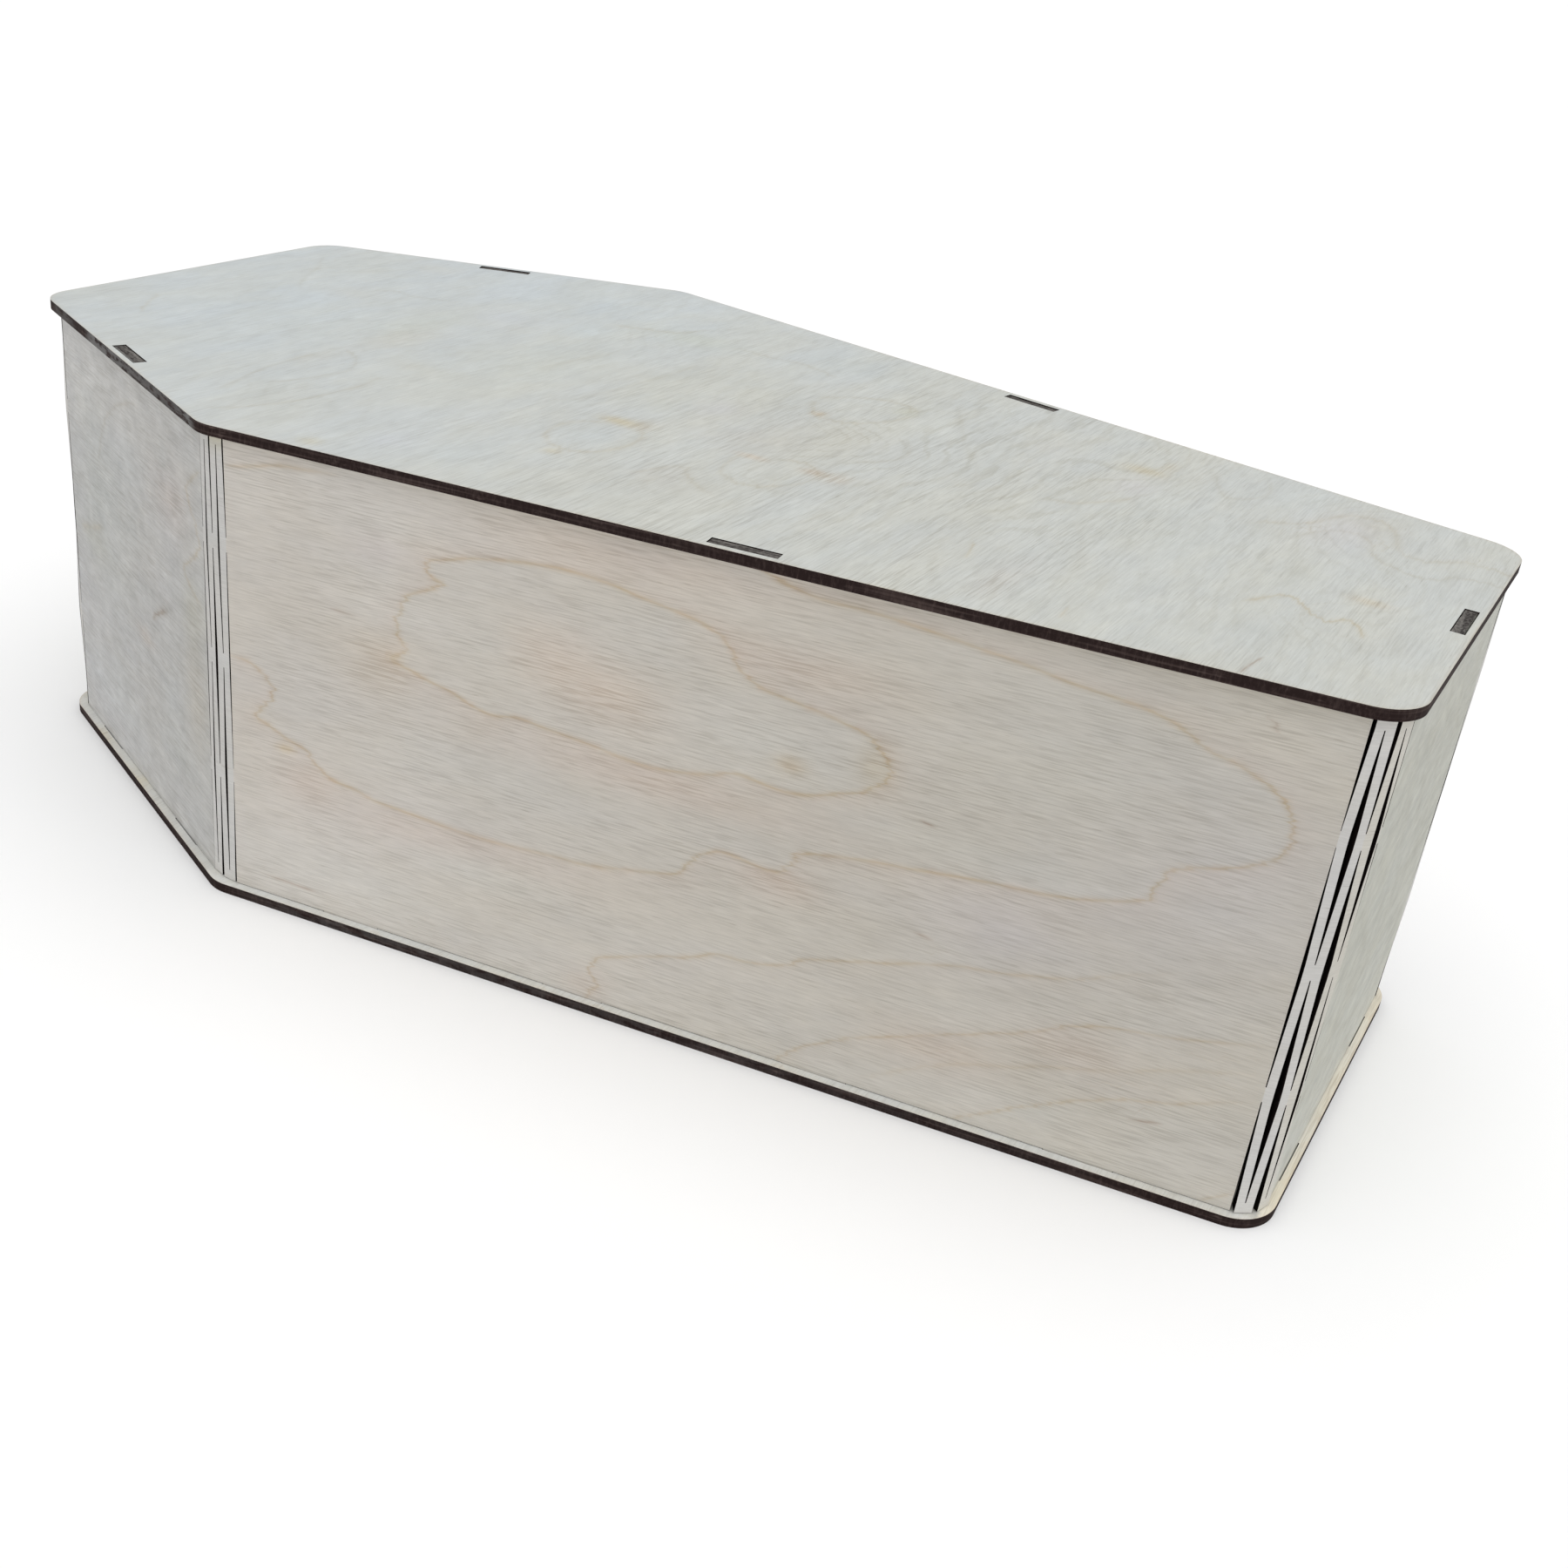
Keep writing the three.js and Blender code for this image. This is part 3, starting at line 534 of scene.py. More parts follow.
def within(points, quad):
    keep = np.ones(len(points), bool)
    for k in range(4):
        a, b = quad[k], quad[(k + 1) % 4]
        e = b - a
        keep &= e[0] * (points[:, 1] - a[1]) - e[1] * (points[:, 0] - a[0]) > 0
    return keep


def sheet(name, low, high, slots, near, mats, grid, decorate):
    """A flat ply sheet with rounded corners and through slots, meshed finely on its faces."""
    rim = outline()
    # Straight runs get points too, so that the rim's tint follows them.
    border = []
    for k in range(len(rim)):
        a, b = rim[k], rim[(k + 1) % len(rim)]
        n = max(1, int(np.linalg.norm(b - a) / grid))
        border += [a + (b - a) * j / n for j in range(n)]
    border = np.array(border)
    quads = [slot_corners(i, m, near[i]) for i in range(6) for m in slots[i]]
    points = [border]
    edges = [(k, (k + 1) % len(border)) for k in range(len(border))]
    base = len(border)
    for q in quads:
        points.append(q)
        edges += [(base + k, base + (k + 1) % 4) for k in range(4)]
        base += 4
    for inset in (0.9, 2.3):
        ring_points = outline(inset)
        fill = []
        for k in range(len(ring_points)):
            a, b = ring_points[k], ring_points[(k + 1) % len(ring_points)]
            n = max(1, int(np.linalg.norm(b - a) / grid))
            fill += [a + (b - a) * j / n for j in range(n)]
        points.append(np.array(fill))
    xs = np.arange(-290 + grid / 2, 290, grid)
    ys = np.arange(-160 + grid / 2, 160, grid)
    field = np.stack(np.meshgrid(xs, ys), -1).reshape(-1, 2)
    # The grid is nudged so that no four points share a circle.
    field = field + 0.12 * np.stack([np.sin(field[:, 1] * 3.1 + field[:, 0]), np.cos(field[:, 0] * 2.7 - field[:, 1])], 1)
    field = field[edge_distance(field) > 3.4]
    # Keep clear of the rounded corners.
    for i in range(6):
        half = TURN[i] / 2
        c = CORNERS[i] + INWARD[i - 1] * RADIUS - ALONG[i - 1] * RADIUS * math.tan(half)
        away = CORNERS[i] - c
        along = (field - c) @ (away / np.linalg.norm(away))
        far = np.linalg.norm(field - c, axis=1)
        ang = np.arccos(np.clip(along / np.maximum(far, 1e-6), -1, 1))
        field = field[~((ang < half) & (far > RADIUS - 3.4))]
    points.append(field)
    allp = np.vstack(points)
    for q in quads:
        # Nothing inside or right beside a slot.
        grown = q + (q - q.mean(0)) / np.linalg.norm(q - q.mean(0), axis=1)[:, None] * 1.0
        bad = within(allp, grown)
        bad[:base] = False
        allp = allp[~bad]
    done = delaunay_2d_cdt([Vector(p) for p in allp], edges, [], 0, 1e-5)
    flat = np.array([tuple(v) for v in done[0]])
    tris = np.array(done[2])
    mids = flat[tris].mean(1)
    keep = np.ones(len(tris), bool)
    for q in quads:
        keep &= ~within(mids, q)
    tris = tris[keep]
    e1, e2 = flat[tris[:, 1]] - flat[tris[:, 0]], flat[tris[:, 2]] - flat[tris[:, 0]]
    area = e1[:, 0] * e2[:, 1] - e1[:, 1] * e2[:, 0]
    tris[area < 0] = tris[area < 0][:, ::-1]
    n = len(flat)
    seen = {}
    for tri in tris:
        for k in range(3):
            a, b = int(tri[k]), int(tri[(k + 1) % 3])
            seen[(a, b)] = seen.get((a, b), 0) + 1
    verts = np.vstack([np.column_stack([flat, np.full(n, high)]), np.column_stack([flat, np.full(n, low)])])
    faces = [tuple(map(int, t)) for t in tris] + [tuple(int(v) + n for v in t[::-1]) for t in tris]
    flags = [0] * len(faces)
    for a, b in seen:
        if (b, a) not in seen:
            faces.append((b, a, a + n, b + n))
            flags.append(1)
    line, tint, lean, growth, soot, calm = decorate(flat)
    # Smoke-stained rim beside every cut.
    d = edge_distance(flat)
    for i in range(6):
        half = TURN[i] / 2
        c = CORNERS[i] + INWARD[i - 1] * RADIUS - ALONG[i - 1] * RADIUS * math.tan(half)
        away = CORNERS[i] - c
        far = np.linalg.norm(flat - c, axis=1)
        ang = np.arccos(np.clip(((flat - c) @ (away / np.linalg.norm(away))) / np.maximum(far, 1e-6), -1, 1))
        d = np.where(ang <= half + 1e-6, np.minimum(d, RADIUS - far), d)
    stain = np.exp(-np.clip(d, 0, None) / 0.55)
    tint = tint + stain[:, None] * np.array([-0.01, -0.07, -0.13])
    plain = np.zeros((n, 3))
    plain[:, 0] = 20.0
    coords_top = np.column_stack([flat[:, 1] * 0.001, flat[:, 0] * 0.001, np.zeros(n)])
    coords_low = np.column_stack([flat[:, 1] * 0.001 + 0.9, flat[:, 0] * 0.001, np.full(n, 0.004)])
    # The edge reads its depth from the shared vertices, so both faces keep the same plan coordinates.
    coords_low[:, 0] = coords_top[:, 0]
    more = np.column_stack([lean, pink_of(tint) - calm, soot])
    return make(name, verts, faces, mats, flags, {
        "flat": np.vstack([coords_top, coords_low]),
        "line": np.vstack([line, plain]),
        "tint": np.vstack([tint, np.zeros((n, 3))]),
        "more": np.vstack([more, more * (0, 0, 1)]),
        "field": np.vstack([growth, growth]),
    })


def along_side(flat, i):
    """Distance along side i, and in from it."""
    return (flat - CORNERS[i]) @ ALONG[i], (flat - CORNERS[i]) @ INWARD[i]


def mark(x, lo, hi, soft=3.0):
    return step(lo - soft, lo + soft, x) * (1 - step(hi - soft, hi + soft, x))


# Where the lid's sheet cut through knots of curly grain: middle, radii and rings.
LID_EYES = [
    (337, -48, 17, 20, 3.2), (270, -63, 17, 20, 2.8), (324, 50, 22, 24, 2.6), (443, 72, 20, 34, -3.0), (525, 66, 22, 30, 3.4),
    (547, 8, 22, 22, -2.4), (535, -38, 22, 16, 2.4), (315, -85, 12, 18, 2.4), (330, 8, 44, 18, -2.2), (425, -60, 20, 38, 2.4),
    (160, -85, 22, 40, 2.6), (130, 5, 22, 40, -2.0), (205, 85, 30, 20, 2.2), (330, -130, 10, 14, 2.4), (60, 30, 30, 30, 1.6),
]


def lid_growth(p):
    x, y = p[:, 0], p[:, 1]
    f = x / 10.0 + 0.7 * np.sin(x / 41 + 1.3 * np.sin(y / 37)) + 0.6 * np.sin(y / 33 + x / 63) + 0.15 * np.sin(y / 13.0 - x / 47)
    for cx, cy, rx, ry, a in LID_EYES:
        f = f + a * np.exp(-(((x - cx) / rx) ** 2 + ((y - cy) / ry) ** 2))
    mask = 0.24 + 0.62 * mark(x, 335, 450, 30) * (0.6 + 0.4 * np.sin(y / 50 + 1)) + 0.14 * mark(x, 480, 575, 20)
    return np.column_stack([f, mask, np.full(len(p), 0.16)])


def lid_look(flat):
    p = np.column_stack([flat[:, 0] + 290, flat[:, 1]])
    line, tint, lean = figure(p, LID_RINGS, grain=1)
    line[:, 1] *= np.where(line[:, 2] < 1.5, 1.5, 1.0)
    tint = tint + patches(p, LID_PATCHES)
    # Cooler towards the head end and the back, a little olive towards the foot.
    cool = 0.75 * (1 - step(40, 330, p[:, 0])) + 0.35 * step(20, 150, p[:, 1]) * (1 - step(330, 480, p[:, 0]))
    tint = tint + cool[:, None] * np.array([-0.022, 0.008, 0.055]) + step(150, 420, p[:, 0])[:, None] * np.array([0.0, -0.004, -0.018])
    soot = np.zeros(len(p))
    s, d = along_side(flat, 0)
    soot += np.where(d < 6, 1.0 * mark(s, 62, 118, 5) + 0.35 * mark(s, 15, 40, 6) + 0.9 * mark(s, 158, 176, 5), 0)
    s, d = along_side(flat, 1)
    soot += np.where(d < 6, -1.0 * mark(s, 300, 330) + 0.5 * mark(s, 249, 264, 2) - 0.5 * mark(s, 120, 150, 8) + 0.25 * mark(s, 30, 80, 10), 0)
    # The grain shows less at both ends of the lid.
    calm = 0.6 * (1 - step(170, 330, p[:, 0])) + 0.55 * step(450, 490, p[:, 0])
    return line, tint, lean, lid_growth(p), soot, calm


def base_look(flat):
    line = np.zeros((len(flat), 3))
    line[:, 0] = 20.0
    tint = np.zeros((len(flat), 3))
    soot = np.zeros(len(flat))
    # Yellowed patches on the lip, and the sootier runs of the edge. The rim outside the wall (d < 4) on these three
    # sides is painted paler: painted light, to offset the shade the wall casts on it.
    s, d = along_side(flat, 2)
    lip = d < 12
    tint = tint + (lip * mark(s, 10, 45, 6))[:, None] * np.array([0.0, -0.02, -0.07]) + (d < 4)[:, None] * np.array([0.30, 0.26, 0.19])
    s, d = along_side(flat, 0)
    lip = d < 12
    # Painted light: the rim outside the wall is raised here too.
    tint = tint + (lip * (mark(s, 36, 50, 4) + mark(s, 88, 98, 4)))[:, None] * np.array([0.0, -0.04, -0.14]) + (d < 4)[:, None] * np.array([0.08, 0.09, 0.12])
    s, d = along_side(flat, 1)
    # Painted light: the rim outside the wall is raised on this side as well.
    tint = tint + (d < 4)[:, None] * np.array([0.10, 0.12, 0.16])
    soot += np.where(d < 6, -0.9 * (mark(s, 150, 178) + mark(s, 245, 268) + mark(s, 341, 366)) + 0.2 * mark(s, 40, 90, 10), 0)
    x, y = flat[:, 0], flat[:, 1]
    f = x / 11.0 + 0.9 * np.sin(x / 47 + 1.1 * np.sin(y / 33)) + 0.9 * np.sin(y / 31 - x / 57) + 2.4 * np.exp(-(((x - 60) / 40) ** 2 + ((y + 20) / 45) ** 2))
    return line, tint, np.zeros(len(flat)), np.column_stack([f, np.full(len(flat), 0.5), np.zeros(len(flat))]), soot, np.full(len(flat), 0.3)


# ---------------------------------------------------------------- the bent wall
# How the four bars of each living hinge stand. At the heights of the middle and end bridges the bars go in pairs, turned by `turn`
# and standing `out` proud of the panel with the first cut open by `open`; at the quarter heights the outer bars lie in line with the
# panels and the middle pair faces the corner, `deep` inside it. In between the bars twist.
BEND = {
    "foot": dict(start=9.6, open=(1.2, 1.2, 1.2), out=(0.2, 0.2, 0.2), turn=(26, 26, 26), deep=(3.0, 3.0)),
    "head": dict(start=8.8, open=(0.9, 1.1, 1.0), out=(0.0, 0.0, 0.0), turn=(20, 20, 20), deep=(2.4, 2.6)),
    "shoulder": dict(start=7.0, open=(0.55, 0.6, 0.55), out=(0.0, 0.0, 0.0), turn=(9, 9, 9), deep=(1.0, 1.0)),
}
KIND = ["head", "near", "sprung", "far", "shoulder", "head"]
TRIM = {"far": 1.0, "sprung": 1.0, "head": 0.85, "shoulder": 0.45, "near": 0.45}
# Where the panels before and after each hinge stop, from the wall's corner.
STOP = [(BEND[k]["start"],) * 2 if k in BEND else {"sprung": (9.4, 10.5), "near": (7.65, 7.03), "far": (9.6, 9.6)}[k] for k in KIND]


def bars(x, y, degrees, count, pitch=PITCH):
    """Bars in a row from a left end, at a turn from the side before the corner."""
    left, d = np.array([x, y]), np.array([math.cos(math.radians(degrees)), math.sin(math.radians(degrees))])
    return [(left + d * pitch * k, left + d * (pitch * k + pitch - KERF)) for k in range(count)]


# The near foot corner has sprung a little: its bars stand unevenly and bulge outwards.
SPRUNG = [
    bars(-8.1, -0.6, 27.5, 2) + bars(-0.83, 3.9, 61.5, 2),
    [((-9.23, 0.0), (-6.4, 0.1))] + bars(-4.14, 0.2, 41.5, 2) + bars(1.43, 6.6, 80.6, 1),
    bars(-8.41, -0.5, 27.5, 2) + bars(-0.88, 4.2, 59.5, 2),
    [((-9.4, 0.0), (-6.6, 0.1))] + bars(-4.66, 0.2, 41.3, 2) + bars(1.37, 6.3, 80.6, 1),
    bars(-8.36, -0.5, 25.0, 2) + bars(-1.43, 3.6, 58.5, 2),
]
# The near shoulder opens between its pairs of bars.
NEAR = [
    bars(-7.7, 0.0, 8.2, 2, 3.2) + bars(-0.1, 1.05, 24.2, 2, 3.2),
    [((-7.5, 0.0), (-4.55, 0.0))] + bars(-3.08, 0.0, 16.4, 2, 3.2) + bars(3.52, 2.27, 32.8, 1, 3.2),
    bars(-6.95, 0.0, 7.0, 2, 3.2) + bars(-0.02, 1.25, 22.9, 2, 3.2),
    [((-7.5, 0.0), (-4.55, 0.0))] + bars(-3.22, 0.0, 16.3, 2, 3.2) + bars(3.22, 2.075, 32.8, 1, 3.2),
    bars(-7.65, 0.0, 7.8, 2, 3.2) + bars(-0.62, 0.98, 22.0, 2, 3.2),
]
# At the far foot corner the bars beside the foot panel stand proud of it.
FAR = [
    bars(-9.0, -0.35, 6.0, 2),
    [((-9.42, -0.55), (-6.5, -0.85)), bars(-4.6, -0.1, 38.0, 2)[0]],
    bars(-9.0, -0.8, 4.0, 2),
    [((-9.42, -0.55), (-6.5, -0.85)), bars(-4.6, -0.1, 38.0, 2)[0]],
    bars(-9.0, -0.75, 4.0, 2),
]


def hinge_states(i):
    """Bar ends of hinge i at the five levels: array level, bar, end, xy, with x along the side before the corner and y inwards."""
    if KIND[i] in ("sprung", "near"):
        return np.array(SPRUNG if KIND[i] == "sprung" else NEAR)
    b, theta = BEND["foot" if KIND[i] == "far" else KIND[i]], TURN[i]
    way = np.array([-math.sin(theta / 2), math.cos(theta / 2)])

    def mirror(p):
        return 2 * (p @ way) * way - p

    out = []
    for k in range(5):
        j = k // 2
        if k % 2 == 0:
            turn = math.radians(b["turn"][j])
            left = np.array([-b["start"] - KERF / 2 + b["open"][j], -b["out"][j]])
            d = np.array([math.cos(turn), math.sin(turn)])
            one = (left, left + d * (PITCH - KERF))
            two = (left + d * PITCH, left + d * (2 * PITCH - KERF))
        else:
            one = (np.array([-b["start"] + KERF / 2, 0.0]), np.array([-b["start"] + PITCH - KERF / 2, 0.0]))
            d = np.array([math.cos(theta / 2), math.sin(theta / 2)])
            mid = way * b["deep"][j]
            two = (mid - d * (PITCH - KERF / 2), mid - d * KERF / 2)
        three = (mirror(two[1]), mirror(two[0]))
        four = (mirror(one[1]), mirror(one[0]))
        if KIND[i] == "far":
            one, two = FAR[k]
            if k % 2:
                three = bars(-4.6, -0.1, 38.0, 2)[1]
        out.append([one, two, three, four])
    return np.array(out)


def bow(side, s, heights):
    """How far the foot panel bows outwards beside its hinges."""
    if side != 2:
        return np.zeros(len(heights))
    h = np.interp(heights - WALL_LOW, [0, 20, 49, 97, 145, 187], [0, 0.25, 0.35, 0.6, 0.35, 0.3])
    near = h * math.cos(math.pi / 2 * min(max((s - 10.0) / 45.0, 0), 1)) ** 2
    h = np.interp(heights - WALL_LOW, [0, 12, 30, 97, 187], [0.1, 0.25, 0.55, 0.6, 0.55])
    return near + h * math.cos(math.pi / 2 * min(max((SIDE_LENGTH[2] - 13.0 - s) / 60.0, 0), 1)) ** 2


def at_height(states, h):
    """The hinge's bars at a height above the wall's lower edge."""
    for k, (lo, hi) in enumerate(LEVELS):
        if h <= hi:
            if h >= lo or k == 0:
                return states[k]
            before = LEVELS[k - 1][1]
            f = (h - before) / (lo - before)
            return states[k - 1] * (1 - f) + states[k] * f
    return states[-1]


def build_wall(mats):
    heights = [TAB_LOW, WALL_LOW]
    stops = sorted({WALL_LOW, WALL_HIGH} | {WALL_LOW + v for cut in ODD_CUTS + EVEN_CUTS for v in cut if 0 < v < 186.5})
    for a, b in zip(stops[:-1], stops[1:]):
        n = max(1, round((b - a) / 2.6))
        heights += [a + (b - a) * k / n for k in range(1, n + 1)]
    heights.append(TAB_HIGH)
    heights = np.array(heights)
    nz = len(heights)

    columns, kinds = [], []  # kinds[k] is the cell to the right of column k: panel side, or (hinge, slit), or (hinge, bar)

    panel_start = float((wall_corner(1) - CORNERS[1]) @ ALONG[1]) + STOP[1][1] + KERF / 2

    def panel_column(i, s):
        p = CORNERS[i] + ALONG[i] * s + INWARD[i] * INSETS[i]
        outer = p[None] - INWARD[i] * bow(i, s, heights)[:, None]
        if i == 1 and s < 20:
            # The cut beside the near shoulder leans a little towards it at the top.
            lean = np.interp(heights - WALL_LOW, [0, 25, 97, 145, 187], [-0.08, 0, 0, -0.27, -0.62])
            outer = outer + ALONG[i] * (lean * max(0.0, 1 - (s - panel_start) / 9.0))[:, None]
        return dict(outer=outer, inner=outer + INWARD[i] * PLY, side=i, s=s)

    def panel(i, lo, hi, pitch):
        marks = {lo, hi}
        for m in LID_SLOTS[i] + BASE_SLOTS[i]:
            for e in (m - TAB / 2, m + TAB / 2):
                if lo < e < hi:
                    marks.add(e)
        marks = sorted(marks)
        places = [marks[0]]
        for a, b in zip(marks[:-1], marks[1:]):
            n = max(1, round((b - a) / pitch))
            places += [a + (b - a) * k / n for k in range(1, n + 1)]
        for k, s in enumerate(places):
            columns.append(panel_column(i, s))
            kinds.append(("panel", i))

    def hinge(i):
        states = hinge_states(i)
        origin = wall_corner(i)
        ax, ay = ALONG[i - 1], INWARD[i - 1]
        trim = TRIM[KIND[i]]
        for bar in range(4):
            for end in range(2):
                outer, inner = np.zeros((nz, 2)), np.zeros((nz, 2))
                for r, z in enumerate(heights):
                    ends = at_height(states, min(max(z - WALL_LOW, 0), 186.9))[bar]
                    d = (ends[1] - ends[0]) / np.linalg.norm(ends[1] - ends[0])
                    o = ends[end]
                    n_in = np.array([-d[1], d[0]])
                    q = o + n_in * PLY + d * (trim if end == 0 else -trim)
                    outer[r] = origin + ax * o[0] + ay * o[1]
                    inner[r] = origin + ax * q[0] + ay * q[1]
                columns.append(dict(outer=outer, inner=inner, side=-1, s=0.0, hinge=i, bar=bar))
                kinds.append(("bar", i, bar) if end == 0 else ("slit", i, bar + 1))

    def corner_s(i, side, after):
        """Where the panel meets hinge i, in mm along the side."""
        s0 = float((wall_corner(i) - CORNERS[side]) @ ALONG[side])
        reach = STOP[i][1 if after else 0] + KERF / 2
        return s0 + reach if after else s0 - reach

    step_of = [3.2, 2.5, 5.0, 6.0, 6.0, 6.0]
    half = SIDE_LENGTH[5] / 2
    panel(5, half + 0.2, corner_s(0, 5, False), 6.0)
    for i in range(6):
        kinds[-1] = ("slit", i, 0)
        hinge(i)
        if i < 5:
            panel(i, corner_s(i, i, True), corner_s(i + 1, i, False), step_of[i])
        else:
            panel(5, corner_s(5, 5, True), half - 0.2, 6.0)
    nu = len(columns)

    def cell(k, r):
        """Is there wood between columns k and k+1, rows r and r+1?"""
        kind = kinds[k]
        z = (heights[r] + heights[r + 1]) / 2
        if r == 0 or r == nz - 2:
            if kind[0] != "panel":
                return False
            s = (columns[k]["s"] + columns[k + 1]["s"]) / 2
            slots = BASE_SLOTS if r == 0 else LID_SLOTS
            return any(abs(s - m) < TAB / 2 for m in slots[kind[1]])
        if kind[0] == "slit":
            h = z - WALL_LOW
            cuts = ODD_CUTS if kind[2] % 2 == 0 else EVEN_CUTS
            return not any(lo < h < hi for lo, hi in cuts)
        return True

    has = np.array([[cell(k, r) for r in range(nz - 1)] for k in range(nu - 1)])
    # Developed length, for the grain to run on unbroken.
    u = [0.0]
    for a, b in zip(columns[:-1], columns[1:]):
        u.append(u[-1] + float(np.linalg.norm(a["outer"][1] - b["outer"][1])))

    outer = np.array([c["outer"] for c in columns])
    inner = np.array([c["inner"] for c in columns])
    z = np.broadcast_to(heights, (nu, nz))
    vo = np.dstack([outer, z]).reshape(-1, 3)
    vi = np.dstack([inner, z]).reshape(-1, 3)
    total = nu * nz
    verts = np.vstack([vo, vi])

    def o(k, r):
        return k * nz + r

    def n(k, r):
        return total + k * nz + r

    faces, flags = [], []

    def add(face, flag):
        faces.append(face)
        flags.append(flag)

    for k in range(nu - 1):
        for r in range(nz - 1):
            if not has[k, r]:
                continue
            add((o(k, r), o(k + 1, r), o(k + 1, r + 1), o(k, r + 1)), 0)
            add((n(k, r), n(k, r + 1), n(k + 1, r + 1), n(k + 1, r)), 0)
            if k == 0 or not has[k - 1, r]:
                add((o(k, r), o(k, r + 1), n(k, r + 1), n(k, r)), 1)
            if k == nu - 2 or not has[k + 1, r]:
                add((o(k + 1, r), n(k + 1, r), n(k + 1, r + 1), o(k + 1, r + 1)), 1)
            if r == 0 or not has[k, r - 1]:
                add((o(k, r), n(k, r), n(k + 1, r), o(k + 1, r)), 1)
            if r == nz - 2 or not has[k, r + 1]:
                add((o(k, r + 1), o(k + 1, r + 1), n(k + 1, r + 1), n(k, r + 1)), 2 if r == nz - 2 else 1)

    flat_o = np.zeros((nu, nz, 3))
    flat_o[..., 0] = np.array(u)[:, None] * 0.001
    flat_o[..., 1] = heights[None] * 0.001
    flat_i = flat_o.copy()
    flat_i[..., 2] = 0.004
    line = np.zeros((nu, nz, 3))
    line[..., 0] = 20.0
    tint = np.zeros((nu, nz, 3))
    side = np.array([c["side"] for c in columns])
    s = np.array([c["s"] for c in columns])
    lean = np.zeros((nu, nz))
    FACE_TINT = {0: (-0.113, -0.119, -0.090), 1: (0.0, 0.0, 0.0), 2: (-0.136, -0.130, -0.19), 3: (-0.04, -0.05, -0.08), 4: (-0.06, -0.06, -0.07), 5: (-0.06, -0.06, -0.07)}
    MOTTLE = {0: 0.60, 1: 0.10, 2: 0.60, 3: 0.25, 4: 0.3, 5: 0.3, -1: 0.06}
    for i, rings, spots in ((0, LEFT_RINGS, LEFT_PATCHES), (1, FRONT_RINGS, FRONT_PATCHES)):
        pick = np.where(side == i)[0]
        p = np.stack(np.meshgrid(s[pick], heights, indexing="ij"), -1).reshape(-1, 2)
        l, t, m = figure(p, rings)
        line[pick] = l.reshape(len(pick), nz, 3)
        tint[pick] = (t + patches(p, spots)).reshape(len(pick), nz, 3)
        lean[pick] = m.reshape(len(pick), nz)
    pink = pink_of(tint.reshape(-1, 3)).reshape(nu, nz)
    pink[side == 0] += 0.25
    # The front is palest at the shoulder and greyer towards the foot.
    f = np.clip((s - 60) / 270, 0, 1)[:, None, None]
    tint += np.where((side == 1)[:, None, None], np.array([0.028, -0.030, -0.074]) * (1 - f) + np.array([-0.072, -0.122, -0.184]) * f, 0)
    f = np.clip((s - 22) / 130, 0, 1)[:, None, None]
    tint += np.where((side == 0)[:, None, None], np.array([0.016, 0.016, 0.016]) * (1 - f) + np.array([-0.03, -0.03, -0.05]) * f, 0)
    # The wall's tint is raised low down, and a little under the lid, to offset the shade that this light leaves there.
    tint += np.interp(heights, [4, 8, 14, 22, 34, 60, 90, 160, 184], [0.22, 0.155, 0.10, 0.07, 0.045, 0.02, 0.0, 0.0, 0.04])[None, :, None]
    # Painted light as well: the foot panel's tint is raised further low down, against the shade the floor contact
    # leaves there.
    tint[side == 2] += np.interp(heights, [8, 12, 24, 34, 60, 80], [0.08, 0.05, 0.05, 0.018, 0.02, 0.0])[None, :, None]
    tint[side == 0] += np.interp(heights, [128, 146, 168, 178], [0.0, 0.03, 0.03, 0.018])[None, :, None]
    for i in range(6):
        tint[side == i] += np.array(FACE_TINT[i])
    for k, c in enumerate(columns):
        if c["side"] < 0:
            lift = {"far": 0.02, "sprung": 0.015, "head": -0.02, "shoulder": -0.03, "near": -0.01}[KIND[c["hinge"]]]
            tint[k] += np.array([lift + 0.005, lift - 0.012, lift - 0.005])
            pink[k] = -0.9
            if c["hinge"] == 2 and c["bar"] >= 2:
                tint[k] += np.array([0.0, -0.02, -0.08])
            if c["hinge"] == 1 and c["bar"] >= 2:
                tint[k] += step(182, 192, heights)[:, None] * np.array([-0.02, -0.05, -0.20])
    # Soft contours on the sides without drawn figure, and inside.
    um, zm = np.array(u)[:, None], heights[None]
    f = zm / 15.0 + 1.1 * np.sin(um / 61 + 1.2 * np.sin(zm / 43)) + 0.9 * np.sin(um / 37 - zm / 71) + 0.8 * np.sin(um / 143)
    growth_o = np.dstack([f, np.where(np.isin(side, (2, 3, 4, 5)), 1.0, 0.0)[:, None] * np.ones((1, nz)), np.array([MOTTLE[v] for v in side])[:, None] * np.ones((1, nz))])
    growth_i = np.dstack([f + 3.3, np.ones((nu, nz)), np.full((nu, nz), 0.15)])
    # A little smoke on the veneer at the wall's upper edge.
    edge = np.abs(heights - WALL_HIGH)
    tint -= np.exp(-edge / 1.6)[None, :, None] * np.array([0.03, 0.05, 0.07])
    plain = np.zeros((total, 3))
    plain[:, 0] = 20.0
    used = np.zeros(2 * total, bool)
    used[[v for f in faces for v in f]] = True
    index = np.cumsum(used) - 1
    faces = [tuple(int(index[v]) for v in f) for f in faces]
    data = {
        "flat": np.vstack([flat_o.reshape(-1, 3), flat_i.reshape(-1, 3)])[used],
        "line": np.vstack([line.reshape(-1, 3), plain])[used],
        "tint": np.vstack([tint.reshape(-1, 3), np.zeros((total, 3))])[used],
        "more": np.vstack([np.column_stack([lean.ravel(), pink.ravel(), np.zeros(total)]), np.zeros((total, 3))])[used],
        "field": np.vstack([growth_o.reshape(-1, 3), growth_i.reshape(-1, 3)])[used],
    }
    return make("side_wall_ply", verts[used], faces, mats, flags, data)


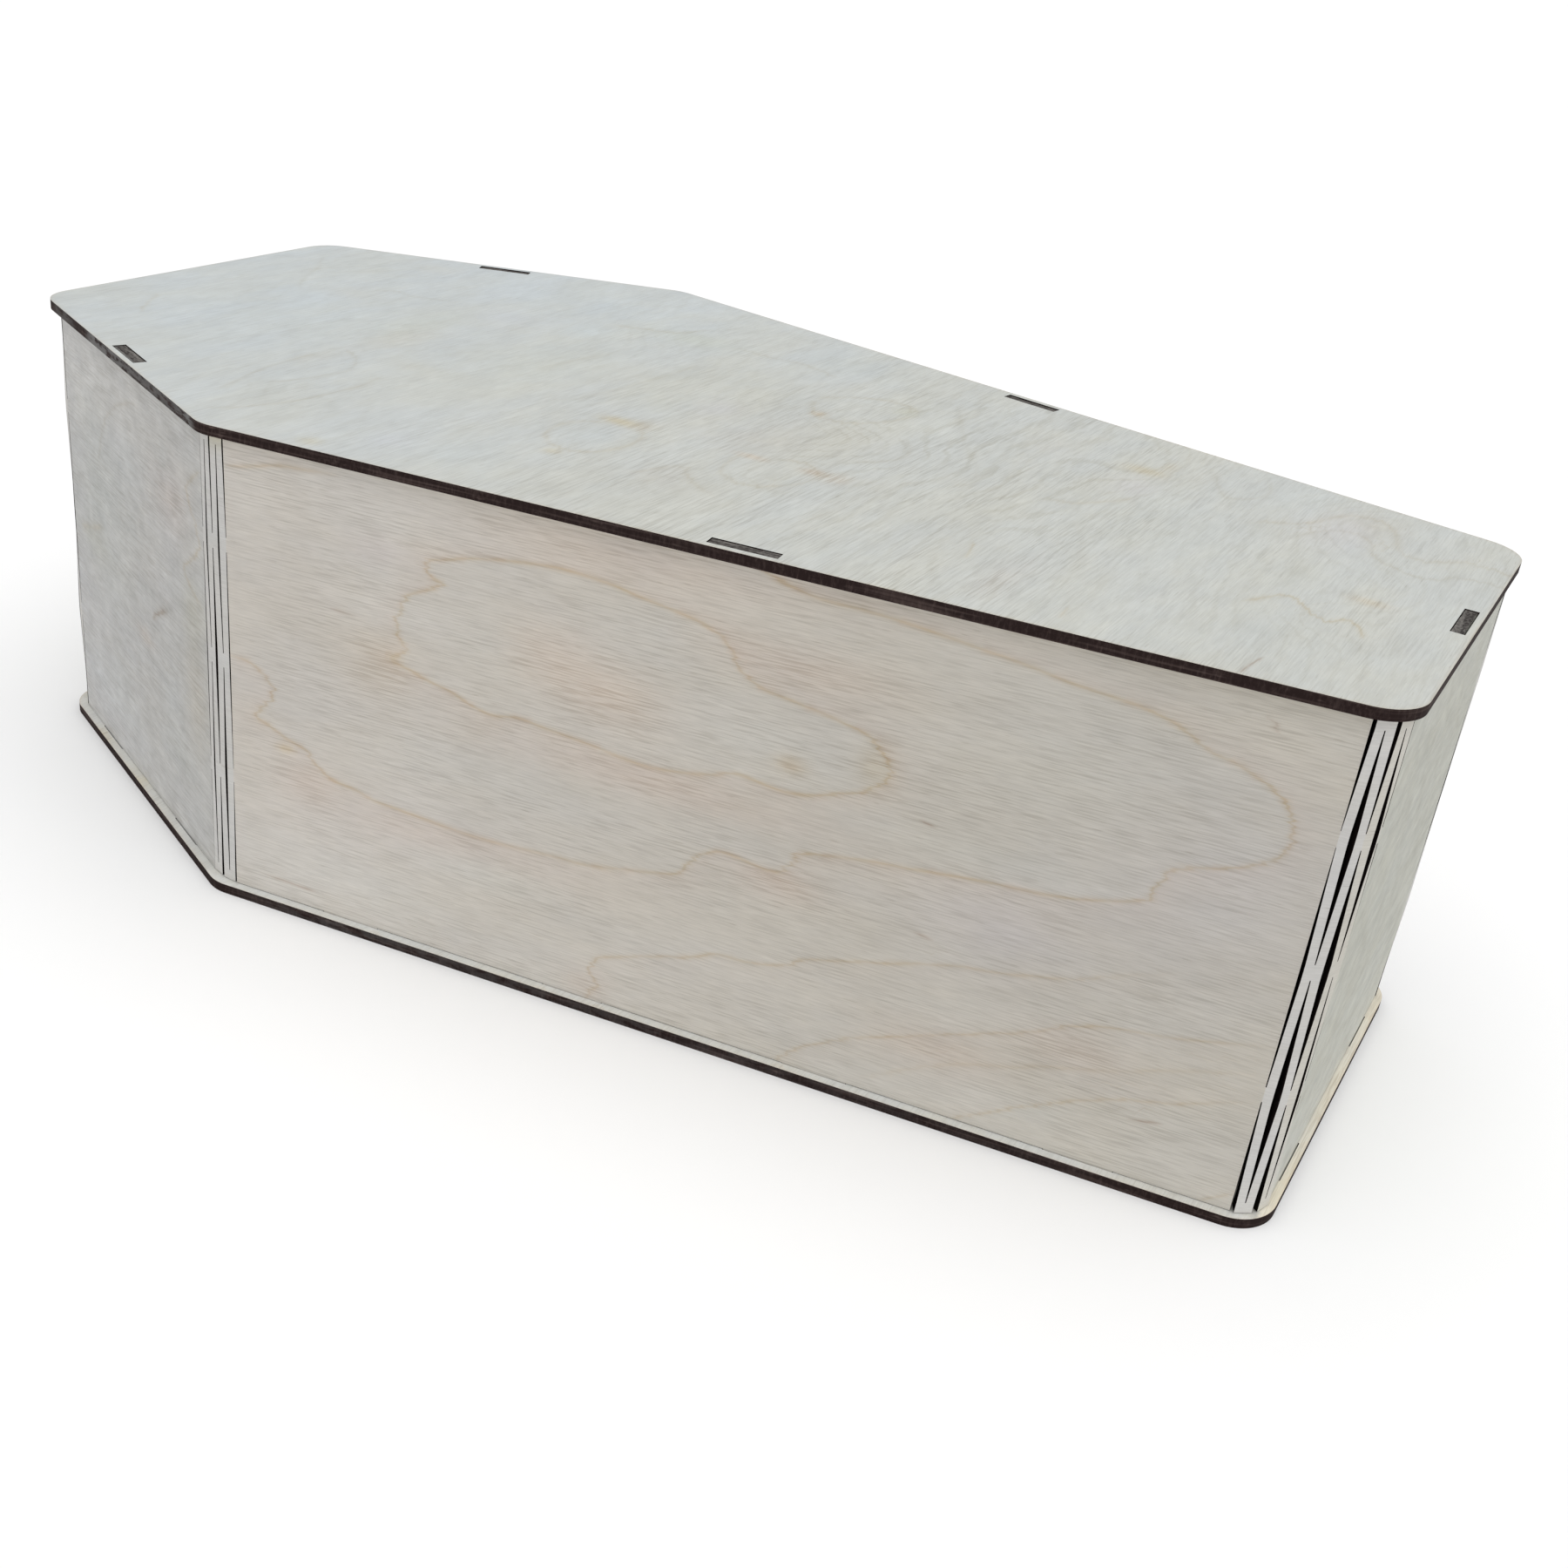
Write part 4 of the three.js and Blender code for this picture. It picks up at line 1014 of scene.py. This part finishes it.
char_lid, char_wall, char_base = charred("lid_char", 1.0), charred("wall_char", 4.0, 0.22), charred("base_char", 7.0)
lid = sheet("lid_ply", HEIGHT - PLY, HEIGHT, LID_SLOTS, LID_NEAR, [veneer("lid_birch", BIRCH_LID, 1.0, 1.05, 0.85, 0.8, 0.8), char_lid], 2.5, lid_look)
base = sheet("base_ply", 0.0, PLY, BASE_SLOTS, BASE_NEAR, [veneer("base_birch", BIRCH_BASE, 5.0, 0.8, 0.7, 0.8, 0.4), char_base], 6.0, base_look)
wall = build_wall([veneer("wall_birch", BIRCH_WALL, 3.0, 1.15, 1.0, 0.45, 0.35), char_wall, tab_end("tab_end")])

for piece, cad, finish in ((lid, "lid", "lid_plywood"), (wall, "side_wall", "wall_plywood"), (base, "base", "base_plywood")):
    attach(piece, "root")
    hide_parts(cad)

# ---------------------------------------------------------------- floor, light and camera
floor_mesh = bpy.data.meshes.new("floor")
floor_mesh.from_pydata([(-60, -60, 0), (60, -60, 0), (60, 60, 0), (-60, 60, 0)], [], [(0, 1, 2, 3)])
floor = bpy.data.objects.new("floor", floor_mesh)
bpy.context.scene.collection.objects.link(floor)
paper = bpy.data.materials.new("paper")
paper.use_nodes = True
paper.node_tree.nodes["Principled BSDF"].inputs["Base Color"].default_value = (0.95, 0.95, 0.95, 1)
paper.node_tree.nodes["Principled BSDF"].inputs["Roughness"].default_value = 0.9
paper.node_tree.nodes["Principled BSDF"].inputs["Specular IOR Level"].default_value = 0.0
floor_mesh.materials.append(paper)

scene = bpy.context.scene
scene.view_settings.view_transform = "Standard"
scene.view_settings.look = "None"
world = bpy.data.worlds.new("studio")
world.use_nodes = True
world.node_tree.nodes["Background"].inputs["Color"].default_value = (1.0, 1.0, 1.0, 1)
world.node_tree.nodes["Background"].inputs["Strength"].default_value = 0.55
scene.world = world

key = bpy.data.lights.new("key", "SUN")
key.energy = 1.73
key.angle = math.radians(70)
key_object = bpy.data.objects.new("key", key)
towards = Vector((0.16, -0.14, 0.945)).normalized()
key_object.rotation_mode = "QUATERNION"
key_object.rotation_quaternion = towards.to_track_quat("Z", "Y")
scene.collection.objects.link(key_object)

cam = bpy.data.cameras.new("camera")
cam.sensor_width = 36.0
cam.lens = 2045.089 / 1800 * 36
cam.shift_x = 0.5 - 834.439 / 1800
cam.shift_y = 832.603 / 1800 - 0.5
cam.clip_start, cam.clip_end = 0.01, 200
cam_object = bpy.data.objects.new("camera", cam)
scene.collection.objects.link(cam_object)
turn_axis = Vector((1.94945, 0.61689, -0.2464))
rot = Matrix.Rotation(turn_axis.length, 3, turn_axis.normalized())
right, up, back = rot[0], -rot[1], -rot[2]
shift = Vector((-0.45775, -0.07391, 1.57511))
eye = -(rot.transposed() @ shift) * 0.58 + Vector((-0.29, 0.0, 0.004))
cam_object.matrix_world = Matrix((
    (right[0], up[0], back[0], eye[0]),
    (right[1], up[1], back[1], eye[1]),
    (right[2], up[2], back[2], eye[2]),
    (0, 0, 0, 1),
))
scene.camera = cam_object
